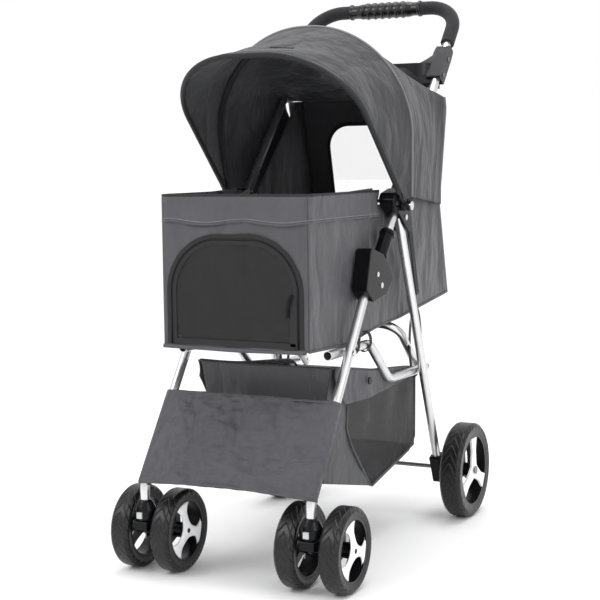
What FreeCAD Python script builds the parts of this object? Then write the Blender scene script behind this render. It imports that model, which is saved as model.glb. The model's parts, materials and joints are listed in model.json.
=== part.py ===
import FreeCAD
import Part
import math
import os
import Sketcher

# Folding pet stroller. Millimetres, +Z up, front towards -Y, left and right mirrored about X = 0.
# The origin is on the ground at the middle of the stroller's outline.

os.makedirs("parts", exist_ok=True)
doc = FreeCAD.newDocument("PetStroller")
sheet = doc.addObject("Spreadsheet::Sheet", "Dimensions")
Vector = FreeCAD.Vector
SIDES = {"left": 1, "right": -1}

# ---- Driving dimensions -------------------------------------------------------------------

DIMENSIONS = [
    ("frame_x", 154, "centre plane of legs, handle and caster stems"),
    ("tube_radius", 8, "frame tube, outside"),
    ("tube_bore", 6.8, "frame tube, inside"),
    ("pin_radius", 3, "rivets and pivot pins"),
    ("pin_hole", 3.05, "hole that turns on a pivot pin"),
    ("cheek_inner", 140, "inner face of housings and brackets"),
    ("slot_inner", 144.8, "inner wall of the slot in housings and brackets"),
    ("slot_outer", 163.2, "outer wall of the slot in housings and brackets"),
    ("cheek_outer", 168, "outer face of housings and brackets"),
    ("link_x", 137, "centre plane of the side links"),
    ("front_wheel_radius", 70, "front tyre, outside"),
    ("front_wheel_half", 18, "half width of a front tyre"),
    ("front_wheel_offset", 39, "from the caster stem to the middle of a front wheel"),
    ("front_axle_y", -289, "front axle behind the stem"),
    ("stem_y", -332, "caster stem axis"),
    ("stem_low", 108, "lower end of the front leg"),
    ("rear_wheel_radius", 90, "rear tyre, outside"),
    ("rear_wheel_half", 21, "half width of a rear tyre"),
    ("rear_wheel_x", 197.5, "middle of a rear wheel"),
    ("rear_axle_y", 254.3, "rear axle"),
    ("brake_pin", 2, "pin of the brake pedal"),
    ("brake_hole", 2.05, "hole of the brake pedal on its pin"),
    ("axle_radius", 4, "wheel axles"),
    ("axle_hole", 4.06, "bore of a wheel on its axle"),
    ("swivel_radius", 6, "caster swivel stem"),
    ("swivel_hole", 6.06, "bore that the caster swivel stem turns in"),
    ("foam_radius", 13, "foam sleeve on the handle"),
    ("foam_bore", 8.1, "inside of the foam sleeve"),
    ("grip_x", 76, "half length of the rubber grip"),
    ("bow_radius", 3, "canopy bow wire"),
    ("front_bow_x", 172, "centre plane of the front bow's ends"),
    ("main_bow_x", 180, "centre plane of the main bow's ends"),
    ("cabin_half", 134, "half width of the fabric cabin"),
    ("cabin_wall", 3, "thickness of the cabin fabric"),
    ("basket_half", 125, "half width of the basket"),
    ("basket_wall", 3, "thickness of the basket fabric"),
    ("hoop_radius", 4, "rim hoop of the cabin"),
    ("door_hem", 1.5, "rolled hem that the door turns on"),
    ("lock_radius", 12, "slide lock collar, outside"),
    ("lock_bore", 8.3, "slide lock collar, inside"),
    ("handle_tilt", 40.7, "degrees that the handle leans back from upright"),
    ("leg_tilt", 35.2, "degrees that the front legs lean back from upright"),
]
D = {}
for line, (alias, value, meaning) in enumerate(DIMENSIONS, start=1):
    sheet.set(f"A{line}", meaning)
    sheet.set(f"B{line}", str(value))
    sheet.setAlias(f"B{line}", alias)
    D[alias] = value
doc.recompute()

# Pivots in the side view, as (y, z).
FOLD_PIVOT = (-79, 474)
REAR_LEG_PIVOT = (32, 585)
LINK_FRONT_PIVOT = (-182, 370.5)
CANOPY_PIVOT = (16, 606)
HOOP_PIVOT = (-12, 615)
DOOR_HINGE = (-291.5, 393.1)
REAR_AXLE = (D["rear_axle_y"], D["rear_wheel_radius"])
FRONT_AXLE = (D["front_axle_y"], D["front_wheel_radius"])

# The handle's axis starts beside the fold housing. A point of the handle is (back, along).
HANDLE_START = (-45, 530)
TILT = math.radians(D["handle_tilt"])
ALONG = (math.sin(TILT), math.cos(TILT))
BACK = (math.cos(TILT), -math.sin(TILT))


def on_handle(back, along):
    y = HANDLE_START[0] + along * ALONG[0] + back * BACK[0]
    z = HANDLE_START[1] + along * ALONG[1] + back * BACK[1]
    return (y, z)


# ---- Helpers ------------------------------------------------------------------------------

bodies = {}


def new_body(label):
    body = doc.addObject("PartDesign::Body", label)
    body.Label = label
    bodies[label] = body
    return body


def origin_plane(body, role):
    for feature in body.Origin.OriginFeatures:
        if feature.Role == role:
            return feature
    raise ValueError(role)


def sketch_on(body, role, placement=None):
    sketch = body.newObject("Sketcher::SketchObject", "Sketch")
    sketch.AttachmentSupport = [(origin_plane(body, role), "")]
    sketch.MapMode = "FlatFace"
    if placement is not None:
        sketch.AttachmentOffset = placement
    return sketch


def corner_arc(before, corner, after, radius):
    """The tangent points and middle of the arc that rounds a corner."""
    to_before = (before - corner).normalize()
    to_after = (after - corner).normalize()
    half = to_before.getAngle(to_after) / 2
    start = corner + to_before * (radius / math.tan(half))
    end = corner + to_after * (radius / math.tan(half))
    centre = corner + (to_before + to_after).normalize() * (radius / math.sin(half))
    middle = centre + (corner - centre).normalize() * radius
    return start, middle, end


def add_line_path(sketch, points, radii, closed):
    """Straight runs joined by tangent arcs. A radius of 0 keeps the corner sharp."""
    spots = [Vector(x, y, 0) for x, y in points]
    count = len(spots)
    starts = []
    for i, spot in enumerate(spots):
        free_end = not closed and i in (0, count - 1)
        if free_end or not radii[i]:
            starts.append((spot, None, spot))
        else:
            starts.append(corner_arc(spots[i - 1], spot, spots[(i + 1) % count], radii[i]))
    for i in range(count if closed else count - 1):
        begin = starts[i][2]
        end = starts[(i + 1) % count][0]
        sketch.addGeometry(Part.LineSegment(begin, end), False)
        arc = starts[(i + 1) % count]
        if arc[1] is not None:
            sketch.addGeometry(Part.Arc(arc[0], arc[1], arc[2]), False)


def add_outline(sketch, points, radius=0.0):
    radii = radius if isinstance(radius, (list, tuple)) else [radius] * len(points)
    add_line_path(sketch, points, radii, True)


def add_circle(sketch, x, y, alias):
    """A circle whose radius is a cell of the sheet."""
    circle = Part.Circle(Vector(x, y, 0), Vector(0, 0, 1), D[alias])
    index = sketch.addGeometry(circle, False)
    rule = sketch.addConstraint(Sketcher.Constraint("Radius", index, D[alias]))
    sketch.setExpression(f"Constraints[{rule}]", f"Dimensions.{alias}")


def named(text):
    """Turns the names of cells in a formula into references to the sheet."""
    words = text.replace("(", " ( ").replace(")", " ) ").split()
    return " ".join(f"Dimensions.{word}" if word in D else word for word in words)


def span(side, inner, outer):
    """Low and high formulas of a plate that lies from inner to outer on one side."""
    if side > 0:
        return inner, outer
    return f"-1 * ( {outer} )", f"-1 * ( {inner} )"


def side_sketch(body, low):
    sketch = sketch_on(body, "YZ_Plane")
    sketch.setExpression("AttachmentOffset.Base.z", named(low))
    return sketch


def pad_plate(body, points, low, high, radius=0.0):
    """A plate with an outline in the side view, from X = low to X = high."""
    sketch = side_sketch(body, low)
    add_outline(sketch, points, radius)
    pad = body.newObject("PartDesign::Pad", "Plate")
    pad.Profile = sketch
    pad.setExpression("Length", named(f"( {high} ) - ( {low} )"))
    return pad


def pad_disc(body, centre, alias, low, high):
    """A disc or pin along X."""
    sketch = side_sketch(body, low)
    add_circle(sketch, centre[0], centre[1], alias)
    pad = body.newObject("PartDesign::Pad", "Disc")
    pad.Profile = sketch
    pad.setExpression("Length", named(f"( {high} ) - ( {low} )"))
    return pad


def cut(body, sketch, length):
    """Cuts along the sketch's normal, and makes sure that something was removed."""
    doc.recompute()
    before = body.Shape.Volume
    pocket = body.newObject("PartDesign::Pocket", "Cut")
    pocket.Profile = sketch
    pocket.setExpression("Length", length)
    pocket.Reversed = True
    doc.recompute()
    if not body.Shape.Volume < before - 1.0:
        raise RuntimeError(f"{body.Label}: a cut removed nothing")
    return pocket


def cut_plate(body, points, low, high, radius=0.0):
    sketch = side_sketch(body, low)
    add_outline(sketch, points, radius)
    return cut(body, sketch, named(f"( {high} ) - ( {low} )"))


def cut_disc(body, centre, alias, low, high):
    sketch = side_sketch(body, low)
    add_circle(sketch, centre[0], centre[1], alias)
    return cut(body, sketch, named(f"( {high} ) - ( {low} )"))


def side_plane(x):
    """Local x runs along Y and local y along Z."""
    turn = FreeCAD.Rotation(Vector(0, 1, 0), Vector(0, 0, 1), Vector(1, 0, 0), "XYZ")
    return FreeCAD.Placement(Vector(x, 0, 0), turn)


def cross_plane(start, direction):
    """Local x runs along X and local y along a direction in the side view."""
    y, z = direction
    turn = FreeCAD.Rotation(Vector(1, 0, 0), Vector(0, y, z), Vector(0, -z, y), "XYZ")
    return FreeCAD.Placement(Vector(0, start[0], start[1]), turn)


def facing(placement, point, towards):
    """A plane at a path's point, square to the run that leaves it."""
    start = Vector(point[0], point[1], 0)
    run = Vector(towards[0], towards[1], 0) - start
    turn = FreeCAD.Rotation(Vector(0, 0, 1), run)
    return placement.multiply(FreeCAD.Placement(start, turn))


def pipe(body, placement, points, radii, outside, inside=None):
    """A tube or wire along a flat path of straight runs and arcs."""
    path = sketch_on(body, "XY_Plane", placement)
    add_line_path(path, points, radii, False)
    ring = sketch_on(body, "XY_Plane", facing(placement, points[0], points[1]))
    add_circle(ring, 0, 0, outside)
    if inside:
        add_circle(ring, 0, 0, inside)
    sweep = body.newObject("PartDesign::AdditivePipe", "Tube")
    sweep.Profile = ring
    sweep.Spine = path
    return sweep


def cut_along(body, placement, alias, length):
    """A round bore from a placement's origin along its local z."""
    sketch = sketch_on(body, "XY_Plane", placement)
    add_circle(sketch, 0, 0, alias)
    return cut(body, sketch, str(length))


def spin(body, points, radius=0.0, axis="H_Axis"):
    """A turned solid about the X axis: points are (x, distance from the axis)."""
    sketch = sketch_on(body, "XY_Plane")
    add_outline(sketch, points, radius)
    turned = body.newObject("PartDesign::Revolution", "Turned")
    turned.Profile = sketch
    turned.ReferenceAxis = (sketch, [axis])
    turned.Angle = 360
    return turned


def round_edges(body, size):
    """Breaks every straight edge of a plate-like solid."""
    doc.recompute()
    tip = body.Tip
    edges = []
    for i, edge in enumerate(tip.Shape.Edges, start=1):
        if edge.Curve.TypeId == "Part::GeomLine" and edge.Length > 6 * size:
            edges.append(f"Edge{i}")
    fillet = body.newObject("PartDesign::Fillet", "Fillet")
    fillet.Base = (tip, edges)
    fillet.Radius = size
    doc.recompute()
    if "Invalid" in fillet.State or fillet.Shape.isNull() or not fillet.Shape.isValid():
        body.removeObject(fillet)
        doc.removeObject(fillet.Name)
        body.Tip = tip
        doc.recompute()


def group(label, solids):
    """Identical fasteners of one body, as separate solids in one node."""
    piece = doc.addObject("Part::Feature", label)
    piece.Label = label
    piece.Shape = Part.makeCompound(solids)
    bodies[label] = piece


def pin_solid(centre, low, high, radius, head=0.0, head_length=0.0):
    """A pin along X with an optional head at its outer end."""
    start = Vector(low, centre[0], centre[1])
    solid = Part.makeCylinder(radius, high - low, start, Vector(1, 0, 0))
    if head:
        cap = Part.makeCylinder(head, head_length, Vector(high, centre[0], centre[1]), Vector(1, 0, 0))
        solid = solid.fuse(cap).removeSplitter()
    return solid


def both_sides(solid):
    return [solid, solid.mirror(Vector(0, 0, 0), Vector(1, 0, 0))]


# ---- Front legs ---------------------------------------------------------------------------

LEG_TILT = math.radians(D["leg_tilt"])
LEG_ALONG = (math.sin(LEG_TILT), math.cos(LEG_TILT))
LEG_BACK = (math.cos(LEG_TILT), -math.sin(LEG_TILT))
KNEE = (D["stem_y"], 158)


def on_leg(back, along):
    """A point beside the sloping part of a front leg, measured from its knee."""
    y = KNEE[0] + along * LEG_ALONG[0] + back * LEG_BACK[0]
    z = KNEE[1] + along * LEG_ALONG[1] + back * LEG_BACK[1]
    return (y, z)


LEG_TOP = on_leg(0, 424)
for name, side in SIDES.items():
    leg = new_body(f"front_leg_{name}")
    path = [(D["stem_y"], D["stem_low"]), KNEE, LEG_TOP]
    pipe(leg, side_plane(side * D["frame_x"]), path, [0, 60, 0], "tube_radius", "tube_bore")
    doc.recompute()
    low, high = span(side, "frame_x - 12", "frame_x + 12")
    cut_disc(leg, LINK_FRONT_PIVOT, "pin_radius", low, high)

# ---- Fold housings: socket for the leg in front, two cheeks around the handle's knuckle ----

HOUSING = [(-120, 541), (-141, 471), (-112, 448), (-58, 456), (-25, 482), on_handle(14, -17.5)]
HOUSING += [on_handle(-14, -17.5)]
for name, side in SIDES.items():
    housing = new_body(f"fold_housing_{name}")
    low, high = span(side, "cheek_inner", "cheek_outer")
    pad_plate(housing, HOUSING, low, high, [9, 8, 9, 12, 9, 3, 3])
    round_edges(housing, 1.5)
    low, high = span(side, "slot_inner", "slot_outer")
    slot = [on_leg(9, 330), on_leg(9, 470), on_leg(90, 470), on_leg(90, 330)]
    cut_plate(housing, slot, low, high)
    bore = facing(side_plane(side * D["frame_x"]), on_leg(0, 330), on_leg(0, 424))
    cut_along(housing, bore, "tube_radius", 94)
    low, high = span(side, "cheek_inner - 1", "cheek_outer + 1")
    cut_disc(housing, FOLD_PIVOT, "pin_radius", low, high)

LEG_RIVET = on_leg(0, 411)
pins = []
pins += both_sides(pin_solid(FOLD_PIVOT, D["cheek_inner"] - 1.5, D["cheek_outer"], 3, 5, 2))
pins += both_sides(pin_solid(LINK_FRONT_PIVOT, 127.5, 162.5, 3, 5, 2))
pins += both_sides(pin_solid(LEG_RIVET, D["cheek_outer"], D["cheek_outer"] + 0.4, 4.4, 4.4, 1.4))
group("frame_pins", pins)

# ---- Handle: one bent tube with foam sleeves, rubber grip, knuckles and brackets -----------

BAR = 594.5
TUBE_START = -26
HANDLE_BEND = 62
handle_plane = cross_plane(HANDLE_START, ALONG)
X = D["frame_x"]
tube = new_body("handle_tube")
path = [(X, TUBE_START), (X, BAR), (-X, BAR), (-X, TUBE_START)]
pipe(tube, handle_plane, path, [0, HANDLE_BEND, HANDLE_BEND, 0], "tube_radius", "tube_bore")

FOAM_START = 494
for name, side in SIDES.items():
    foam = new_body(f"foam_sleeve_{name}")
    path = [(side * X, FOAM_START), (side * X, BAR), (side * (D["grip_x"] + 0.5), BAR)]
    pipe(foam, handle_plane, path, [0, HANDLE_BEND, 0], "foam_radius", "foam_bore")

grip = new_body("rubber_grip")
half = D["grip_x"]
profile = [(-half, 8.1), (-half, 16), (-half + 7, 16), (-half + 9, 12), (-half + 18, 12)]
profile += [(-half + 30, 16.2), (half - 34, 16.2), (half - 30, 13.5), (half - 9, 12)]
profile += [(half - 7, 16), (half, 16), (half, 8.1)]
spin(grip, profile, [0, 2, 2, 0, 2, 3, 2, 1, 0, 2, 2, 0])
bar_y, bar_z = on_handle(0, BAR)
grip.Placement = FreeCAD.Placement(Vector(0, bar_y, bar_z), FreeCAD.Rotation())

KNUCKLE_EYE = 14
for name, side in SIDES.items():
    knuckle = new_body(f"fold_knuckle_{name}")
    low, high = span(side, "slot_inner + 0.5", "slot_outer - 0.5")
    outline = [on_handle(-4, -66), on_handle(-4, TUBE_START - 4), on_handle(20, TUBE_START - 4)]
    outline += [on_handle(24, -60)]
    pad_plate(knuckle, outline, low, high, [0, 3, 6, 8])
    sketch = side_sketch(knuckle, low)
    circle = Part.Circle(Vector(FOLD_PIVOT[0], FOLD_PIVOT[1], 0), Vector(0, 0, 1), KNUCKLE_EYE)
    sketch.addGeometry(circle, False)
    eye = knuckle.newObject("PartDesign::Pad", "Eye")
    eye.Profile = sketch
    eye.setExpression("Length", named(f"( {high} ) - ( {low} )"))
    spigot = sketch_on(knuckle, "XY_Plane",
                       facing(side_plane(side * X), on_handle(0, TUBE_START - 6), on_handle(0, 0)))
    spigot.addGeometry(Part.Circle(Vector(0, 0, 0), Vector(0, 0, 1), D["tube_bore"] - 0.1), False)
    plug = knuckle.newObject("PartDesign::Pad", "Spigot")
    plug.Profile = spigot
    plug.Length = 26
    doc.recompute()
    cut_disc(knuckle, FOLD_PIVOT, "pin_hole", low, high)

BRACKET = [(-42, 76), (-44, 92), (-20, 124), (9, 128), (38, 112), (56, 102), (54, 82), (16, 79),
           (-15, 78)]
BRACKET_ROUND = [6, 10, 9, 9, 14, 9, 9, 3, 3]
for name, side in SIDES.items():
    bracket = new_body(f"hub_bracket_{name}")
    low, high = span(side, "cheek_inner", "cheek_outer")
    pad_plate(bracket, [on_handle(*spot) for spot in BRACKET], low, high, BRACKET_ROUND)
    round_edges(bracket, 1.2)
    low, high = span(side, "slot_inner", "slot_outer")
    slot = [on_handle(9.6, 60), on_handle(9.6, 140), on_handle(80, 140), on_handle(80, 60)]
    cut_plate(bracket, slot, low, high)
    bore = facing(side_plane(side * X), on_handle(0, 60), on_handle(0, 140))
    cut_along(bracket, bore, "tube_radius", 80)
    low, high = span(side, "cheek_inner - 1", "cheek_outer + 1")
    cut_disc(bracket, REAR_LEG_PIVOT, "pin_radius", low, high)
    low, high = span(side, "cheek_inner - 1", "slot_inner + 1")
    cut_disc(bracket, HOOP_PIVOT, "pin_radius", low, high)

RIVETS = [(-7, 114), (20, 110), (-24, 86)]
pins = []
pins += both_sides(pin_solid(REAR_LEG_PIVOT, D["cheek_inner"] - 1.5, D["cheek_outer"], 3, 5, 1.6))
pins += both_sides(pin_solid(HOOP_PIVOT, 119.5, D["slot_inner"], 3))
pins += both_sides(pin_solid(CANOPY_PIVOT, D["cheek_outer"], 184, 3, 8, 2.5))
for spot in RIVETS:
    pins += both_sides(pin_solid(on_handle(*spot), D["cheek_outer"], D["cheek_outer"] + 0.3, 3.6, 3.6, 0.5))
group("bracket_pins", pins)

# ---- Parent tray: a shell with two cup wells and a middle pocket, on two clamps ------------

TRAY_TOP = 866
TRAY_FLOOR = 820
TRAY_FRONT = 206
TRAY_BACK = 292
TRAY_HALF = 141
CUP_X = 88
CUP_RADIUS = 36
tray = new_body("parent_tray")
sketch = sketch_on(tray, "XY_Plane", FreeCAD.Placement(Vector(0, 0, TRAY_FLOOR), FreeCAD.Rotation()))
outline = [(-TRAY_HALF, TRAY_FRONT), (TRAY_HALF, TRAY_FRONT), (TRAY_HALF, TRAY_BACK)]
outline += [(-TRAY_HALF, TRAY_BACK)]
add_outline(sketch, outline, 26)
pad = tray.newObject("PartDesign::Pad", "Shell")
pad.Profile = sketch
pad.Length = TRAY_TOP - TRAY_FLOOR
for side in SIDES.values():
    low, high = span(side, "frame_x - 16", "frame_x + 12")
    arm = [on_handle(-12, 398), on_handle(-12, 462), on_handle(-7, 482), on_handle(11, 482)]
    arm += [on_handle(13, 462), on_handle(13, 398)]
    pad_plate(tray, arm, low, high, [4, 20, 3, 3, 20, 4])
doc.recompute()
TRAY_MIDDLE = (TRAY_FRONT + TRAY_BACK) / 2
for cup in (-CUP_X, CUP_X):
    sketch = sketch_on(tray, "XY_Plane",
                       FreeCAD.Placement(Vector(0, 0, TRAY_FLOOR + 4), FreeCAD.Rotation()))
    sketch.addGeometry(Part.Circle(Vector(cup, TRAY_MIDDLE, 0), Vector(0, 0, 1), CUP_RADIUS), False)
    cut(tray, sketch, "60")
sketch = sketch_on(tray, "XY_Plane",
                   FreeCAD.Placement(Vector(0, 0, TRAY_FLOOR + 14), FreeCAD.Rotation()))
outline = [(-44, TRAY_FRONT + 8), (44, TRAY_FRONT + 8), (44, TRAY_BACK - 8), (-44, TRAY_BACK - 8)]
add_outline(sketch, outline, 12)
cut(tray, sketch, "60")
for side in SIDES.values():
    bore = facing(side_plane(side * X), on_handle(0, 380), on_handle(0, 500))
    cut_along(tray, bore, "tube_radius", 120)

screws = []
for along in (412, 452):
    screws += both_sides(pin_solid(on_handle(0, along), X + 12, X + 12.4, 4.2, 4.2, 1.2))
group("tray_screws", screws)

# ---- Slide locks: collars that hold the handle's knuckle closed ----------------------------

for name, side in SIDES.items():
    lock = new_body(f"slide_lock_{name}")
    collar_path = [on_handle(0, -11), on_handle(0, 42)]
    pipe(lock, side_plane(side * X), collar_path, [0, 0], "lock_radius", "lock_bore")
    doc.recompute()
    rim = sketch_on(lock, "XY_Plane",
                    facing(side_plane(side * X), on_handle(0, 34), on_handle(0, 42)))
    rim.addGeometry(Part.Circle(Vector(0, 0, 0), Vector(0, 0, 1), 13.4), False)
    add_circle(rim, 0, 0, "lock_bore")
    lip = lock.newObject("PartDesign::Pad", "Lip")
    lip.Profile = rim
    lip.Length = 5

# ---- Cabin rim hoop, hinged on the hub brackets --------------------------------------------

HOOP_X = 125
HOOP_FRONT = (-282, 604)
hoop_run = (HOOP_FRONT[0] - HOOP_PIVOT[0], HOOP_FRONT[1] - HOOP_PIVOT[1])
hoop_length = math.hypot(*hoop_run)
hoop_direction = (hoop_run[0] / hoop_length, hoop_run[1] / hoop_length)
hoop = new_body("cabin_hoop")
path = [(HOOP_X, 6), (HOOP_X, hoop_length), (-HOOP_X, hoop_length), (-HOOP_X, 6)]
pipe(hoop, cross_plane(HOOP_PIVOT, hoop_direction), path, [0, 50, 50, 0], "hoop_radius")
HOOP_EYE = 8
for side in SIDES.values():
    low, high = span(side, "122", "128")
    sketch = side_sketch(hoop, low)
    eye = Part.Circle(Vector(HOOP_PIVOT[0], HOOP_PIVOT[1], 0), Vector(0, 0, 1), HOOP_EYE)
    sketch.addGeometry(eye, False)
    pad = hoop.newObject("PartDesign::Pad", "Eye")
    pad.Profile = sketch
    pad.Length = 6
    doc.recompute()
for side in SIDES.values():
    low, high = span(side, "119", "131")
    cut_disc(hoop, HOOP_PIVOT, "pin_hole", low, high)

# ---- Canopy: two bows that share a pivot, and the sheets between them -----------------------


def bow_direction(lean):
    """Direction in the side view of a bow that leans forward from upright by an angle."""
    return (-math.sin(math.radians(lean)), math.cos(math.radians(lean)))


MAIN_LEAN = 6.2
FRONT_LEAN = 45.6
MAIN_HEIGHT = 311
FRONT_HEIGHT = 360
MAIN_HALF = 187
FRONT_HALF = 168
MAIN_BEND = 182
FRONT_BEND = 140
BOW_EYE = 9


def bow(label, plane_x, top_half, height, bend, lean):
    arch = new_body(label)
    path = [(plane_x, 5), (top_half, height), (-top_half, height), (-plane_x, 5)]
    placement = cross_plane(CANOPY_PIVOT, bow_direction(lean))
    pipe(arch, placement, path, [0, bend, bend, 0], "bow_radius")
    for side in SIDES.values():
        low, high = span(side, str(plane_x - 2.6), str(plane_x + 2.6))
        sketch = side_sketch(arch, low)
        eye = Part.Circle(Vector(CANOPY_PIVOT[0], CANOPY_PIVOT[1], 0), Vector(0, 0, 1), BOW_EYE)
        sketch.addGeometry(eye, False)
        pad = arch.newObject("PartDesign::Pad", "Eye")
        pad.Profile = sketch
        pad.Length = 5.2
    doc.recompute()
    cut_disc(arch, CANOPY_PIVOT, "pin_hole", "-1 * 200", "200")


bow("main_bow", D["main_bow_x"], MAIN_HALF, MAIN_HEIGHT, MAIN_BEND, MAIN_LEAN)
bow("front_bow", D["front_bow_x"], FRONT_HALF, FRONT_HEIGHT, FRONT_BEND, FRONT_LEAN)

REAR_LEAN = -37.0
SHEET_START = 48
SHEET_THICK = 2.5


def band(body, lean, base_half, top_half, height, bend):
    """Cross-section of a canopy sheet in a plane through the canopy pivot."""
    sketch = sketch_on(body, "XY_Plane", cross_plane(CANOPY_PIVOT, bow_direction(lean)))
    thin = SHEET_THICK
    points = [(base_half, SHEET_START), (top_half, height), (-top_half, height)]
    points += [(-base_half, SHEET_START), (-base_half + thin, SHEET_START)]
    points += [(-top_half + thin, height - thin), (top_half - thin, height - thin)]
    points += [(base_half - thin, SHEET_START)]
    add_outline(sketch, points, [0, bend, bend, 0, 0, bend - thin, bend - thin, 0])
    return sketch


def canopy_sheet(label, sections):
    sheet_body = new_body(label)
    sketches = [band(sheet_body, *section) for section in sections]
    loft = sheet_body.newObject("PartDesign::AdditiveLoft", "Sheet")
    loft.Profile = sketches[0]
    loft.Sections = sketches[1:]
    loft.Ruled = True


COVER = D["bow_radius"] + SHEET_THICK + 0.5
main_cover = (181 + COVER, MAIN_HALF + COVER, MAIN_HEIGHT + COVER, MAIN_BEND + COVER)
canopy_sheet("canopy_front", [
    (FRONT_LEAN, D["front_bow_x"] + COVER, FRONT_HALF + COVER, FRONT_HEIGHT + COVER,
     FRONT_BEND + COVER),
    (MAIN_LEAN + 1.0,) + main_cover,
])
canopy_sheet("canopy_rear", [
    (MAIN_LEAN - 0.6,) + main_cover,
    (REAR_LEAN, 172, 170, 274, 130),
])

# ---- Fabric cabin: floor, front, sides and tall rear wall, open at the top ------------------

CABIN = [(-292, 384), (-153, 379), (-9, 397), (141, 404), (325, 427), (277, 627), (236, 802),
         (208, 801), (46, 634), (14, 596), (-36, 596), (-38, 638), (-292, 630)]
CABIN_INSIDE = [(-289, 387.1), (-153, 382.1), (-9, 400.1), (141, 407.1), (321.2, 430), (274, 626),
                (232, 803), (232, 900), (-289, 900)]
cabin = new_body("cabin_body")
pad_plate(cabin, CABIN, "-1 * cabin_half", "cabin_half", [0, 0, 0, 0, 20, 0, 6, 6, 30, 8, 8, 8, 6])
doc.recompute()
cut_plate(cabin, CABIN_INSIDE, "-1 * ( cabin_half - cabin_wall )", "cabin_half - cabin_wall",
          [0, 0, 0, 0, 17, 0, 0, 0, 0])
DOOR_HALF = 116
DOOR_TOP = 566
DOOR_BEND = 88


def arch_points(half_width, low, high):
    return [(-half_width, low), (half_width, low), (half_width, high), (-half_width, high)]


doorway = sketch_on(cabin, "XY_Plane", cross_plane((-300, 0), (0, 1)))
add_outline(doorway, arch_points(DOOR_HALF, 391, DOOR_TOP), [4, 4, DOOR_BEND, DOOR_BEND])
doc.recompute()
before = cabin.Shape.Volume
pocket = cabin.newObject("PartDesign::Pocket", "Doorway")
pocket.Profile = doorway
pocket.Length = 20
pocket.Midplane = True
doc.recompute()
if not cabin.Shape.Volume < before - 1000:
    raise RuntimeError("the doorway removed nothing")

floor = new_body("cabin_floor_board")
board = [(-284, 388), (-153, 383), (-9, 401), (141, 408), (298, 428.2)]
board += [(298, 432.2), (141, 412), (-9, 405), (-153, 387), (-284, 392)]
pad_plate(floor, board, "-1 * ( cabin_half - 15 )", "cabin_half - 15")

# ---- Front door: arched mesh panel that zips open and folds down ----------------------------

DOOR_GAP = 0.6
DOOR_THICK = 3
HEM_HALF = 112
door = new_body("front_door")
door_plane = cross_plane((DOOR_HINGE[0] + DOOR_THICK / 2, 0), (0, 1))
sketch = sketch_on(door, "XY_Plane", door_plane)
panel = arch_points(DOOR_HALF - DOOR_GAP, DOOR_HINGE[1], DOOR_TOP - DOOR_GAP)
add_outline(sketch, panel, [3, 3, DOOR_BEND - DOOR_GAP, DOOR_BEND - DOOR_GAP])
pad = door.newObject("PartDesign::Pad", "Panel")
pad.Profile = sketch
pad.Length = DOOR_THICK
doc.recompute()
pad_disc(door, DOOR_HINGE, "door_hem", f"-1 * {HEM_HALF}", f"{HEM_HALF}")

# ---- Storage basket, open at the top ---------------------------------------------------------

BASKET = [(-186, 147), (-28, 112), (172, 148), (175, 288), (158, 300), (-60, 322), (-190, 345)]
BASKET_INSIDE = [(-183, 149.6), (-28, 115.1), (169, 150.5), (172, 400), (-187, 400)]
basket = new_body("storage_basket")
pad_plate(basket, BASKET, "-1 * basket_half", "basket_half", [10, 60, 14, 6, 6, 0, 4])
doc.recompute()
cut_plate(basket, BASKET_INSIDE, "-1 * ( basket_half - basket_wall )", "basket_half - basket_wall",
          [8, 60, 12, 0, 0])

# ---- Foot panel: fabric between the front legs, sewn as sleeves around them ------------------

PANEL_LOW = 18
PANEL_HIGH = 166
panel = new_body("foot_panel")
outline = [on_leg(-2, PANEL_LOW), on_leg(-2, PANEL_HIGH), on_leg(1.5, PANEL_HIGH)]
outline += [on_leg(1.5, PANEL_LOW)]
pad_plate(panel, outline, "-1 * ( frame_x - 9 )", "frame_x - 9")
for side in SIDES.values():
    start = facing(side_plane(side * X), on_leg(0, PANEL_LOW), on_leg(0, PANEL_HIGH))
    sleeve = sketch_on(panel, "XY_Plane", start)
    sleeve.addGeometry(Part.Circle(Vector(0, 0, 0), Vector(0, 0, 1), 10.5), False)
    sleeve.addGeometry(Part.Circle(Vector(0, 0, 0), Vector(0, 0, 1), 8.4), False)
    pad = panel.newObject("PartDesign::Pad", "Sleeve")
    pad.Profile = sleeve
    pad.Length = PANEL_HIGH - PANEL_LOW

# ---- Rear legs, brackets, axle and brake pedals -----------------------------------------------

REAR_SLOPE = 0.3937
REAR_LEG_LOW = 98


def on_rear_leg(z):
    return (REAR_LEG_PIVOT[0] + (REAR_LEG_PIVOT[1] - z) * REAR_SLOPE, z)


for name, side in SIDES.items():
    leg = new_body(f"rear_leg_{name}")
    path = [on_rear_leg(593), on_rear_leg(REAR_LEG_LOW)]
    pipe(leg, side_plane(side * X), path, [0, 0], "tube_radius", "tube_bore")
    doc.recompute()
    low, high = span(side, "frame_x - 12", "frame_x + 12")
    cut_disc(leg, REAR_LEG_PIVOT, "pin_hole", low, high)

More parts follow.
